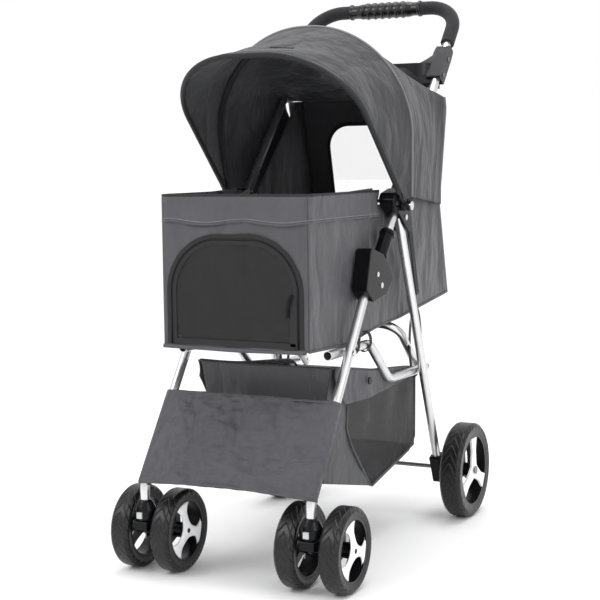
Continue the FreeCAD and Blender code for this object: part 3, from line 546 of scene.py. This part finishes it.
def canopy_rear_puff(u, v, p):
    sag = -7.0 * math.sin(math.pi * v) * math.sin(math.pi * u) ** 6
    bulge = 4.0 * math.sin(math.pi * v) * (1 - math.sin(math.pi * u))
    wrinkle = ripple(p, 0.018, 11) * 4.5 * math.sin(math.pi * v)
    return -(sag + bulge + wrinkle)


GRID = 120
front_sheet = cloth_grid(
    "canopy_front_cloth", canopy_front_spot, GRID, 24, ["grey", "lining"], puff=canopy_front_puff,
)
rear_sheet = cloth_grid(
    "canopy_rear_cloth", canopy_rear_spot, GRID, 24, ["grey", "lining"], puff=canopy_rear_puff,
)
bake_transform(front_sheet)
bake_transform(rear_sheet)
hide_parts("canopy_front")
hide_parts("canopy_rear")

ARCH_STEPS = 90
main_line = [arch(MAIN, LOW + (HIGH - LOW) * i / ARCH_STEPS, 1.5) for i in range(ARCH_STEPS + 1)]
cordlike("main_seam_piping", main_line, 2.4, "piping", "main_bow")


def front_row(j, first, last):
    """Points of one row of the front canopy sheet."""
    return [front_sheet.data.vertices[j * (GRID + 1) + i].co / MM for i in range(first, last)]


PATCH_ROW, HEM_ROW = 8, 2
patch = [p + Vector((0, -0.5, 1.4)) for p in front_row(PATCH_ROW, 53, 60)]
ribbon("canopy_patch", patch, lambda i: (0, -0.35, 0.94), 6, 1.6, "binding", "main_bow")
wire_line = [arch(MAIN, 0.055 + 0.89 * i / ARCH_STEPS, -OVER_WIRE) for i in range(ARCH_STEPS + 1)]
cordlike("main_bow_sleeve", wire_line, 4.4, "lining", "main_bow")
edge_line = [arch(FRONT, 0.035 + 0.93 * i / ARCH_STEPS, -OVER_WIRE) for i in range(ARCH_STEPS + 1)]
cordlike("front_bow_sleeve", edge_line, 4.5, "binding", "front_bow")
hub = Vector((0, *HUB))
hem = [p + (p - hub).normalized() * 0.8 for p in front_row(HEM_ROW, 2, GRID - 1)]
hem_cord = cordlike("front_hem_seam", hem, 1.2, "grey_flat")
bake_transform(hem_cord)


# ---- Cabin --------------------------------------------------------------------------------

SIDE_LOW = [
    (0.0, (-292, 384)), (0.23, (-153, 379)), (0.41, (-38, 393.4)), (0.413, (-36, 393.6)),
    (0.50, (14, 398)), (0.60, (75, 401)), (0.95, (300, 424)), (1.0, (325, 427)),
]
SIDE_HIGH = [
    (0.0, (-292, 630)), (0.23, (-153, 634)), (0.41, (-38, 638)), (0.413, (-36, 609)),
    (0.50, (14, 609)), (0.60, (46, 634)), (0.95, (208, 801)), (1.0, (236, 802)),
]
CABIN_X = 134
FRONT_Y, FRONT_LOW, FRONT_RISE = -292, 384, 246
REAR_Y, REAR_LEAN, REAR_LOW, REAR_RISE = 325, 89, 427, 375


def cabin_x(u):
    return (u * 2 - 1) * CABIN_X


def cabin_side_spot(side):
    def spot(u, v):
        low, high = between(SIDE_LOW, u), between(SIDE_HIGH, u)
        return (side * CABIN_X, low[0] + (high[0] - low[0]) * v, low[1] + (high[1] - low[1]) * v)
    return spot


def cabin_side_puff(side):
    def puff(u, v, p):
        rim = math.sin(math.pi * min(max(v, 0), 1)) ** 0.6 * math.sin(math.pi * min(max(u, 0), 1)) ** 0.5
        folds = math.sin(p[1] * 0.085 + ripple(p, 0.012, 5) * 4) * 2.6 * (0.3 + 0.7 * v)
        soft = ripple(p, 0.014, 21 + side) * 5.5
        return side * rim * (folds + soft)
    return puff


cabin = []
for label, side in SIDES:
    piece = cloth_grid(
        "cabin_side_" + label, cabin_side_spot(side), 110, 40,
        ["grey", "lining"] if side > 0 else ["lining", "grey"], puff=cabin_side_puff(side),
    )
    cabin.append(piece)


def floor_spot(u, v):
    low = between(SIDE_LOW, u)
    return (cabin_x(v), low[0], low[1])


cabin.append(cloth_grid("cabin_floor_cloth", floor_spot, 60, 24, ["lining", "grey"]))

WINDOW_HALF, WINDOW_LOW, WINDOW_HIGH, WINDOW_BEND = 88, 520, 757, 48


def rear_half(z):
    """The rear wall widens towards the hood."""
    return CABIN_X + 30 * min(max((z - 600) / 180, 0), 1)


def rear_spot(u, v):
    z = REAR_LOW + REAR_RISE * v
    return ((u * 2 - 1) * rear_half(z), REAR_Y - REAR_LEAN * v, z)


def over_window(u, v, grow=0.0):
    x, _, z = rear_spot(u, v)
    return in_window(x, z, grow)


def in_window(x, z, grow=0.0):
    x = abs(x)
    half, high, low = WINDOW_HALF + grow, WINDOW_HIGH + grow, WINDOW_LOW - grow
    if x > half or z > high or z < low:
        return False
    for corner in (high - WINDOW_BEND, low + WINDOW_BEND):
        beyond = z > corner if corner > 650 else z < corner
        if beyond and x > half - WINDOW_BEND:
            if math.hypot(x - half + WINDOW_BEND, z - corner) > WINDOW_BEND:
                return False
    return True


rear_wall = cloth_grid(
    "cabin_rear_cloth", rear_spot, 134, 160, ["lining", "grey"],
    keep=lambda u, v: not over_window(u, v),
    puff=lambda u, v, p: 3 * ripple(p, 0.012, 31) * math.sin(math.pi * u) * math.sin(math.pi * v),
)
cabin.append(rear_wall)
window = cloth_grid(
    "rear_window_mesh", rear_spot, 67, 80, ["window"],
    keep=lambda u, v: over_window(u, v, 5), thick=0.5,
)


def window_ring():
    ring = []
    low, high, half, bend = WINDOW_LOW, WINDOW_HIGH, WINDOW_HALF, WINDOW_BEND
    for cx, cz, start in (
        (half - bend, high - bend, 0), (-half + bend, high - bend, 90),
        (-half + bend, low + bend, 180), (half - bend, low + bend, 270),
    ):
        for k in range(11):
            a = math.radians(start + 9 * k)
            x, z = cx + bend * math.cos(a), cz + bend * math.sin(a)
            ring.append((x, REAR_Y - REAR_LEAN * (z - REAR_LOW) / REAR_RISE, z))
    return ring


window_trim = cordlike("rear_window_binding", window_ring(), 5.5, "binding", closed=True, flat=0.6)

DOOR_HALF, DOOR_LOW, DOOR_HIGH, DOOR_BEND = 118, 388, 562, 88


def in_door(x, z, grow=0.0):
    x = abs(x)
    half, high = DOOR_HALF + grow, DOOR_HIGH + grow
    if x > half or z > high or z < DOOR_LOW - grow:
        return False
    if z > high - DOOR_BEND and x > half - DOOR_BEND:
        return math.hypot(x - half + DOOR_BEND, z - high + DOOR_BEND) <= DOOR_BEND
    return True


def front_spot(u, v):
    return (cabin_x(u), FRONT_Y, FRONT_LOW + FRONT_RISE * v)


front_wall = cloth_grid(
    "cabin_front_cloth", front_spot, 134, 120, ["grey", "lining"],
    keep=lambda u, v: not in_door(cabin_x(u), FRONT_LOW + FRONT_RISE * v),
    puff=lambda u, v, p: 3.5 * ripple(p, 0.022, 41) * math.sin(math.pi * u),
)
cabin.append(front_wall)

DOOR_RISE = 180
door = cloth_grid(
    "front_door_mesh", lambda u, v: (cabin_x(u), FRONT_Y - 0.5, FRONT_LOW + DOOR_RISE * v), 67, 60, ["mesh"],
    keep=lambda u, v: in_door(cabin_x(u), FRONT_LOW + DOOR_RISE * v, -3),
    puff=lambda u, v, p: 5 * ripple(p, 0.02, 51) * math.sin(math.pi * u) * math.sin(math.pi * v),
    thick=0.6, body="front_door",
)
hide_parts("front_door")


def door_arch(grow):
    path = [(DOOR_HALF + grow, DOOR_LOW)]
    for sign, start in ((1, 0), (-1, 90)):
        for k in range(13):
            a = math.radians(start + 7.5 * k)
            x = sign * (DOOR_HALF - DOOR_BEND) + (DOOR_BEND + grow) * math.cos(a)
            path.append((x, DOOR_HIGH - DOOR_BEND + (DOOR_BEND + grow) * math.sin(a)))
    path.append((-DOOR_HALF - grow, DOOR_LOW))
    return path


def front_band(name, grow, wide, thick, key, body, y):
    line = [(x, y, z) for x, z in door_arch(grow)]
    return ribbon(name, line, lambda i: (0, -1, 0), wide, thick, key, body)


front_band("door_zip_tape", -5, 9, 1.6, "binding", "front_door", FRONT_Y - 1.5)
zip_out = front_band("doorway_zip_tape", 4, 8, 1.6, "binding", None, FRONT_Y - 1.6)
teeth_line = [(x, FRONT_Y - 2.6, z) for x, z in door_arch(-0.5)]
cordlike("doorway_zip_teeth", teeth_line, 1.3, "black", "front_door")
ribbon(
    "door_corner_band", [(x, FRONT_Y - 2.4, z) for x, z in ((-112, 392), (112, 392))],
    lambda i: (0, -1, 0), 10, 1.4, "binding", "front_door",
)
ribbon(
    "door_side_band", [(109, FRONT_Y - 2.4, 392), (109, FRONT_Y - 2.4, 470)],
    lambda i: (0, -1, 0), 12, 1.4, "binding", "front_door",
)
ribbon(
    "door_puller", [(106, FRONT_Y - 4.6, 474), (101, FRONT_Y - 5.4, 458), (98, FRONT_Y - 5.0, 438)],
    lambda i: (0, -1, 0), 5, 1.6, "black", "front_door",
)


# ---- Collar of the cabin ------------------------------------------------------------------

COLLAR_BEND = 16


def collar_line():
    half, front = CABIN_X + 3.5, FRONT_Y - 3.5
    line = [(half, -16)]
    for cx, start in ((half - COLLAR_BEND, 0), (-half + COLLAR_BEND, -90)):
        for k in range(9):
            a = math.radians(start - 11.25 * k)
            line.append((cx + COLLAR_BEND * math.cos(a), front + COLLAR_BEND + COLLAR_BEND * math.sin(a)))
    line.append((-half, -16))
    fine = [line[0]]
    for a, b in zip(line, line[1:]):
        n = max(1, round(math.dist(a, b) / 5))
        for k in range(1, n + 1):
            fine.append((a[0] + (b[0] - a[0]) * k / n, a[1] + (b[1] - a[1]) * k / n))
    return fine


COLLAR = collar_line()


def collar_spot(u, v):
    s = u * (len(COLLAR) - 1)
    i = min(int(s), len(COLLAR) - 2)
    a, b = COLLAR[i], COLLAR[i + 1]
    x, y = a[0] + (b[0] - a[0]) * (s - i), a[1] + (b[1] - a[1]) * (s - i)
    dip = 3.0 * math.sin(x * 0.045 + 0.7)
    return (x, y, 588 + (632 - 588) * v + dip * (1 - v))


def collar_puff(u, v, p):
    droop = 3.0 * math.sin(math.pi * min(v * 1.1, 1))
    return droop + 1.2 * math.sin(u * 50 + ripple(p, 0.02, 61) * 5) * (1 - v) + 3.0 * ripple(p, 0.025, 63)


COLLAR_STEPS, COLLAR_ROWS = len(COLLAR) - 1, 12
collar = cloth_grid(
    "cabin_collar", collar_spot, COLLAR_STEPS, COLLAR_ROWS, ["grey_flat"], puff=collar_puff, thick=1.8,
)


def collar_row(j, away=0.0):
    """Points of one row of the collar, moved a little away from the middle of the cabin."""
    points = []
    for i in range(COLLAR_STEPS + 1):
        p = collar.data.vertices[j * (COLLAR_STEPS + 1) + i].co / MM
        out = Vector((p.x, p.y + 150, 0)).normalized()
        points.append(p + out * away)
    return points


collar_hem = cordlike("collar_hem", collar_row(0, 0.3), 1.9, "grey_flat", flat=0.9)
collar_zip = cordlike("collar_zip", collar_row(COLLAR_ROWS, -1), 3.0, "binding", flat=0.8)
stitches = cordlike("collar_stitch", collar_row(1, 1.0), 0.7, "piping")

# Strap with a zip down the rear part of each side, and the seam at the rear edge.
straps = []
for label, side in SIDES:
    x = side * (CABIN_X + 5.5)
    line = [(x, 104 + (156 - 104) * k / 24, 619 - (619 - 437) * k / 24) for k in range(25)]
    straps.append(ribbon("side_strap_" + label, line, lambda i, s=side: (s, 0, 0), 14, 1.8, "binding"))
    back = []
    for k in range(41):
        z = REAR_LOW + REAR_RISE * k / 40
        back.append((side * rear_half(z), REAR_Y - REAR_LEAN * k / 40, z))
    straps.append(cordlike("rear_seam_" + label, back, 2.0, "piping"))
    base = []
    for k in range(81):
        y, z = between(SIDE_LOW, k / 80)
        base.append((side * (CABIN_X + 0.5), y, z))
    straps.append(cordlike("base_seam_" + label, base, 2.2, "grey_flat"))

front_base = []
for x in range(-CABIN_X, CABIN_X + 1, 6):
    front_base.append((x, FRONT_Y - 0.5 - 1.5 * math.cos(x * 0.05), 383 - 1.5 * math.cos(x * 0.013)))
base_roll = cordlike("front_base_seam", front_base, 4.2, "grey_flat", flat=0.8)
CABIN_PIECES = cabin + [window, window_trim, zip_out, collar, collar_hem, collar_zip, stitches, base_roll]
CABIN_PIECES += straps
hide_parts("cabin_body")


# ---- Basket -------------------------------------------------------------------------------

BASKET_X = 125
BASKET_LOW = [(0.0, (-186, 147)), (0.45, (-28, 112)), (0.92, (172, 148)), (1.0, (172, 150))]
BASKET_HIGH = [(0.0, (-190, 345)), (0.40, (-60, 322)), (0.93, (158, 300)), (1.0, (175, 288))]


def basket_half(y, z):
    """The basket narrows downwards, most of all at the front."""
    fall = min(max((345 - z) / 120, 0), 1)
    ahead = min(max((60 - y) / 246, 0), 1)
    return BASKET_X - 20 * fall ** 0.8 * ahead ** 1.5


def basket_side(side):
    def spot(u, v):
        low, high = between(BASKET_LOW, u), between(BASKET_HIGH, u)
        y, z = low[0] + (high[0] - low[0]) * v, low[1] + (high[1] - low[1]) * v
        return (side * basket_half(y, z), y, z)
    return spot


SEAM = [(0.0, (0.45,)), (0.2, (0.33,)), (0.35, (0.25,)), (0.5, (0.205,)), (0.75, (0.21,)), (1.0, (0.225,))]


def seam_u(v):
    return between(SEAM, v)[0]


def basket_puff(side, seed):
    def puff(u, v, p):
        rim = math.sin(math.pi * v) ** 0.5 * math.sin(math.pi * min(max(u, 0.02), 0.98)) ** 0.5
        return side * rim * (5 * ripple(p, 0.015, seed) + 3)
    return puff


basket = []
for label, side in SIDES:
    coats = ["grey", "lining"] if side > 0 else ["lining", "grey"]
    mesh = cloth_grid(
        "basket_mesh_" + label, basket_side(side), 120, 60, ["mesh"],
        keep=lambda u, v: u > seam_u(v), puff=basket_puff(side, 71), thick=0.6,
    )
    wrap = cloth_grid(
        "basket_wrap_" + label, basket_side(side), 120, 60, coats,
        keep=lambda u, v: u <= seam_u(v), puff=basket_puff(side, 71), thick=1.2,
    )
    basket += [mesh, wrap]
    seam = smooth_path([basket_side(side)(seam_u(k / 30), k / 30) for k in range(31)], 1)
    last = len(seam) - 1
    seam = [(p[0] + side * (1 + 4 * math.sin(math.pi * k / last)), p[1], p[2]) for k, p in enumerate(seam)]
    basket.append(cordlike("basket_seam_" + label, seam, 2.2, "grey_flat"))
    edge = [(side * BASKET_X, y, z) for y, z in ((-28, 112), (60, 128), (172, 149), (174, 210), (175, 288))]
    basket.append(cordlike("basket_edge_" + label, smooth_path(edge, 1), 2.6, "grey_flat"))


def basket_floor_spot(u, v):
    low = between(BASKET_LOW, u)
    return ((v * 2 - 1) * basket_half(*low), low[0], low[1])


basket.append(cloth_grid("basket_floor", basket_floor_spot, 40, 20, ["lining"], thick=1.2))


def basket_front_spot(u, v):
    y, z = -186 - 4 * v, 147 + (345 - 147) * v
    return ((u * 2 - 1) * basket_half(y, z), y, z)


def basket_front_puff(u, v, p):
    return math.sin(math.pi * u) ** 0.5 * (4 * ripple(p, 0.014, 81) - 5 * math.sin(math.pi * v))


basket_front = cloth_grid(
    "basket_front", basket_front_spot, 60, 40, ["grey", "lining"], puff=basket_front_puff,
)
basket.append(basket_front)
basket.append(cloth_grid(
    "basket_rear", lambda u, v: ((u * 2 - 1) * BASKET_X, 172 + 3 * v, 149 + 139 * v), 40, 20, ["mesh"],
    puff=lambda u, v, p: 3 * ripple(p, 0.02, 85), thick=0.6,
))
RIM = ((-190, 345), (-60, 322), (50, 311), (158, 300), (175, 288))
for label, side in SIDES:
    rim = [(side * (BASKET_X + 1), y, z) for y, z in RIM]
    basket.append(cordlike("basket_rim_" + label, smooth_path(rim, 2), 2.6, "grey_flat"))
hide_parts("storage_basket")


def flap_spot(x):
    """A folded rim flap along the top of a side, held with a snap."""
    def spot(u, v):
        rim = between([(0.0, (-188, 345)), (0.35, (-60, 323)), (1.0, (162, 300))], u)
        depth = 10 + 56 * (1 - u) ** 0.8 * min(u / 0.12 + 0.35, 1)
        return (x, rim[0] + 4 * v, rim[1] - depth * v)
    return spot


for label, side in SIDES:
    x = side * (BASKET_X + 7)
    basket.append(cloth_grid(
        "basket_flap_" + label, flap_spot(x), 60, 12, ["grey_flat"],
        puff=lambda u, v, p, s=side: s * (3 * math.sin(math.pi * v) + 4 * ripple(p, 0.02, 87) * v), thick=1.6,
    ))
    disc = []
    for out in (5.4, 3.0):
        for k in range(20):
            a = k * math.tau / 20
            disc.append((x + side * out, -58 + 6.5 * math.cos(a), 305 + 6.5 * math.sin(a)))
    faces = [tuple(range(20)), tuple(range(39, 19, -1))]
    faces += [(k, (k + 1) % 20, 20 + (k + 1) % 20, 20 + k) for k in range(20)]
    basket.append(new_piece("basket_snap_" + label, disc, faces, ["black"], smooth=False))

for piece in CABIN_PIECES + basket:
    soften(piece)


# ---- Foot panel ---------------------------------------------------------------------------

LEG_TILT = math.radians(35.2)
KNEE = (-332, 158)


def on_leg(back, along):
    tilt = LEG_TILT if along > 12 else LEG_TILT * max((along + 20) / 32, 0)
    y = KNEE[0] + max(along, 0) * math.sin(LEG_TILT) + back * math.cos(tilt)
    z = KNEE[1] + along * (math.cos(LEG_TILT) if along > 0 else 1) - back * math.sin(tilt)
    return y, z


FOOT_SLEEVE = 10.4
FOOT_LEG_X = 154


def foot_spot(u, v):
    """Runs from round the left leg across to round the right one."""
    along = -6 + 172 * v + 7 * math.sin(math.pi * u) * (1 - v) ** 2
    turn = 0.10
    if turn <= u <= 1 - turn:
        k = (u - turn) / (1 - 2 * turn)
        x = FOOT_LEG_X - 2 * FOOT_LEG_X * k
        return (x, *on_leg(-FOOT_SLEEVE, along))
    near = u if u < turn else 1 - u
    a = math.pi * 1.65 * (1 - near / turn)
    x = FOOT_LEG_X + FOOT_SLEEVE * math.sin(a)
    back = -FOOT_SLEEVE * math.cos(a)
    return (x if u < turn else -x, *on_leg(back, along))


def foot_puff(u, v, p):
    middle = min(max(math.sin(math.pi * (u - 0.1) / 0.8), 0) * 2.5, 1) if 0.1 < u < 0.9 else 0
    sag = 3 * math.sin(math.pi * min(max(v, 0), 1))
    broad = ripple((p[0] * 0.3, p[1], p[2]), 0.035, 93)
    fine = ripple((p[0] * 0.6, p[1], p[2]), 0.09, 95)
    folds = 6.5 * broad + 3.2 * fine
    return middle * (folds - sag)


foot = cloth_grid("foot_panel_cloth", foot_spot, 200, 80, ["creased"], puff=foot_puff, thick=1.4, body="root")
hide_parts("foot_panel")
for name, v in (("foot_top_hem", 0.985), ("foot_low_hem", 0.015)):
    line = []
    for i in range(120):
        u = 0.10 + 0.80 * i / 119
        p = Vector(foot_spot(u, v))
        line.append(p + Vector((0, -0.82, -0.5)) * 0.8)
    cordlike(name, line, 1.6, "grey_flat", "root", flat=0.7)


# ---- Webbing that ties the cabin to the side links ----------------------------------------

LINK_X = 137
for label, side in SIDES:
    for k, (y, top, low) in enumerate(((-130, 392, 359), (-80, 394, 359), (150, 414, 282))):
        ring = []
        for a in range(33):
            turn = math.tau * a / 32
            ring.append((
                side * (LINK_X + 11 * math.cos(turn)), y + 2 * math.sin(turn),
                (top + low) / 2 + (top - low) / 2 * math.sin(turn),
            ))
        normals = [(side * math.cos(math.tau * a / 32), 0, math.sin(math.tau * a / 32)) for a in range(33)]
        loop = ribbon(f"webbing_{label}_{k}", ring, lambda i, n=normals: n[i], 9, 1.2, "binding")
        soften(loop)


# ---- White spoke faces of the front wheels ------------------------------------------------

SPOKE_THICK = 2.2


def star_half(s):
    """Half width of a spoke at a distance from the axle: waisted, and flared at the rim."""
    return 8.0 + 6.0 * math.exp(-(s / 11) ** 2) + 17.0 * max((s - 27) / 20, 0) ** 2.0


def spoke_star(name, centre, side, body):
    """A white three-spoke face, domed a little outwards."""
    x0, y0, z0 = centre
    verts, faces = [], []
    for arm in range(3):
        a = math.radians(90 + 120 * arm + 14)
        run, across = (math.cos(a), math.sin(a)), (-math.sin(a), math.cos(a))
        rows = []
        for k in range(19):
            s = 47.5 * k / 18
            w = star_half(s)
            row = []
            for j in range(9):
                q = (j / 4 - 1) * w
                r = math.hypot(s, q)
                keep = min(1.0, 48.2 / max(r, 1e-6))
                dome = 3.0 * (1 - (s / 46) ** 2) + 1.6 * (1 - (j / 4 - 1) ** 4)
                row.append((
                    x0 + side * (12.2 + dome),
                    y0 + (run[0] * s + across[0] * q) * keep,
                    z0 + (run[1] * s + across[1] * q) * keep,
                ))
            rows.append(row)
        base = len(verts)
        for row in rows:
            verts += row
        for k in range(18):
            for j in range(8):
                i = base + k * 9 + j
                faces.append((i, i + 1, i + 10, i + 9))
    piece = new_piece(name, verts, faces, ["white"], body)
    thicken(piece, SPOKE_THICK)
    return piece


def hub_cap(name, centre, side, radius, depth, key, body):
    x0, y0, z0 = centre
    verts, faces = [], []
    rings = [(0.0, depth), (0.55, depth), (0.85, depth * 0.8), (1.0, depth * 0.35), (1.0, 0.0)]
    for share, out in rings:
        for k in range(28):
            a = math.tau * k / 28
            y, z = y0 + radius * share * math.cos(a), z0 + radius * share * math.sin(a)
            verts.append((x0 + side * out, y, z))
    for r in range(len(rings) - 1):
        for k in range(28):
            l = (k + 1) % 28
            faces.append((r * 28 + k, r * 28 + l, (r + 1) * 28 + l, (r + 1) * 28 + k))
    return new_piece(name, verts, faces, [key], body)


for label in ("left_outer", "left_inner", "right_outer", "right_inner"):
    x, y, z = WHEELS[label]
    stem = 154 if x > 0 else -154
    side = 1 if x > stem else -1
    body = "front_wheel_" + label
    spoke_star("white_spokes_" + label, (x, y, z), side, body)
    hub_cap("hub_cap_" + label, (x + side * 15.2, y, z), side, 9.5, 3.0, "white", body)


# ---- Ribs of the rubber grip --------------------------------------------------------------

BAR = (342.7, 980.7)
grip_verts, grip_faces = [], []
GRIP_HALF, GRIP_STEPS, GRIP_RING = 76, 190, 48


def grip_radius(x, a):
    d = abs(x)
    if d > 70:
        return 15.6 - 1.2 * ((d - 73) / 3) ** 2
    if d > 58:
        return 13.0
    if d > 48:
        return 13.0 + 2.2 * (58 - d) / 10
    rib = max(0.0, math.cos((x * 0.42) + 2 * a)) ** 0.7
    return 14.6 + 1.9 * rib


for i in range(GRIP_STEPS + 1):
    x = -GRIP_HALF + 2 * GRIP_HALF * i / GRIP_STEPS
    for k in range(GRIP_RING):
        a = math.tau * k / GRIP_RING
        r = grip_radius(x, a)
        grip_verts.append((x, BAR[0] + r * math.cos(a), BAR[1] + r * math.sin(a)))
for i in range(GRIP_STEPS):
    for k in range(GRIP_RING):
        l = (k + 1) % GRIP_RING
        a, b = i * GRIP_RING, (i + 1) * GRIP_RING
        grip_faces.append((a + k, a + l, b + l, b + k))
grip_faces.append(tuple(range(GRIP_RING - 1, -1, -1)))
grip_faces.append(tuple(GRIP_STEPS * GRIP_RING + k for k in range(GRIP_RING)))
grip = new_piece("ribbed_grip", grip_verts, grip_faces, ["rubber"], "handle")
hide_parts("rubber_grip")


# ---- Dished arms that join the tray to its clamps ---------------------------------------------

ARM_THICK = 3.4


def tray_arm(label, side):
    verts, faces = [], []
    columns, rows = 24, 12
    for i in range(columns + 1):
        k = i / columns
        x = side * (84 + (150 - 84) * k)
        high_y, high_z = 207 + 50 * k ** 2.2, 858 + 36 * k ** 2.4
        low_y, low_z = 204 + 8 * k ** 2, 822 + 6 * k ** 2
        for j in range(rows + 1):
            r = j / rows
            dish = 5 * math.sin(math.pi * r) * (0.4 + 0.6 * k)
            verts.append((x, low_y + (high_y - low_y) * r - dish, low_z + (high_z - low_z) * r))
    for i in range(columns):
        for j in range(rows):
            a = i * (rows + 1) + j
            faces.append((a, a + 1, a + rows + 2, a + rows + 1))
    piece = new_piece("tray_arm_" + label, verts, faces, ["tray"], "handle")
    thicken(piece, ARM_THICK)
    round_off = piece.modifiers.new("Soft_edge", "BEVEL")
    round_off.width = 1.2 * MM
    round_off.segments = 2


for label, side in SIDES:
    tray_arm(label, side)


# ---- Flat cut of each cloth piece, worked out and not kept --------------------------------

declare(front_sheet)
declare(rear_sheet)
for piece in cabin:
    declare(piece)
for piece in (window, collar):
    declare(piece)
declare(door)
HUNG = ("basket_mesh", "basket_wrap", "basket_floor", "basket_front", "basket_rear", "basket_flap")
for piece in basket:
    if piece.name.startswith(HUNG):
        declare(piece)
declare(foot)


# ---- Studio -------------------------------------------------------------------------------

def pale_floor():
    """Near-white floor that turns to the studio's white well behind the object."""
    m = Nodes("pale_floor")
    reach = m.add("ShaderNodeVectorMath", operation="LENGTH")
    m.link(m.coords, reach.inputs[0])
    far = m.math("DIVIDE", m.math("SUBTRACT", reach.outputs["Value"], 1.5), 4.0)
    far = m.math("MINIMUM", m.math("MAXIMUM", far, 0.0), 1.0)
    m.link(m.ramp(far, [(0.0, (0.95, 0.95, 0.95)), (1.0, (0.0, 0.0, 0.0))]), m.shader.inputs["Base Color"])
    m.set(Roughness=0.8, Emission_Color=(1, 1, 1, 1))
    m.link(far, m.shader.inputs["Emission Strength"])
    return m.mat


mesh = bpy.data.meshes.new("floor")
mesh.from_pydata([(-40, -40, 0), (40, -40, 0), (40, 40, 0), (-40, 40, 0)], [], [(0, 1, 2, 3)])
floor = bpy.data.objects.new("floor", mesh)
bpy.context.scene.collection.objects.link(floor)
mesh.materials.append(pale_floor())

world = bpy.data.worlds.new("studio")
bpy.context.scene.world = world
world.use_nodes = True
world.node_tree.nodes["Background"].inputs["Color"].default_value = (1, 1, 1, 1)
world.node_tree.nodes["Background"].inputs["Strength"].default_value = 1.0
bpy.context.scene.view_settings.view_transform = "Standard"


def lamp(name, place, target, size, power):
    data = bpy.data.lights.new(name, "AREA")
    data.size = size
    data.energy = power
    lamp_object = bpy.data.objects.new(name, data)
    lamp_object.location = place
    lamp_object.rotation_euler = (Vector(target) - Vector(place)).to_track_quat("-Z", "Y").to_euler()
    bpy.context.scene.collection.objects.link(lamp_object)


lamp("key", (-1.6, -2.4, 2.6), (0, 0, 0.5), 1.6, 40)
lamp("fill", (2.6, -1.2, 1.6), (0, 0, 0.5), 1.4, 22)
lamp("top", (0.2, 0.4, 3.0), (0, 0, 0.4), 1.8, 38)

# The camera of the main view: its turn about Z, its height angle, its tilt, its place and its lens.
CAMERA_DEGREES = (26.61, 5.72, -0.69)
CAMERA_PLACE = (1.1114, -2.2723, 0.6892)
LENS_MM, SENSOR_MM = 84.33, 36
yaw, pitch, roll = (math.radians(angle) for angle in CAMERA_DEGREES)
back = Vector((math.sin(yaw) * math.cos(pitch), -math.cos(yaw) * math.cos(pitch), math.sin(pitch)))
right = Vector((0, 0, 1)).cross(back).normalized()
up = back.cross(right)
tilted_x = right * math.cos(roll) + up * math.sin(roll)
tilted_y = -right * math.sin(roll) + up * math.cos(roll)
turn = Matrix((tilted_x, tilted_y, back)).transposed().to_4x4()
camera_data = bpy.data.cameras.new("camera")
camera_data.lens = LENS_MM
camera_data.sensor_width = SENSOR_MM
camera = bpy.data.objects.new("camera", camera_data)
camera.matrix_world = Matrix.Translation(CAMERA_PLACE) @ turn
bpy.context.scene.collection.objects.link(camera)
bpy.context.scene.camera = camera
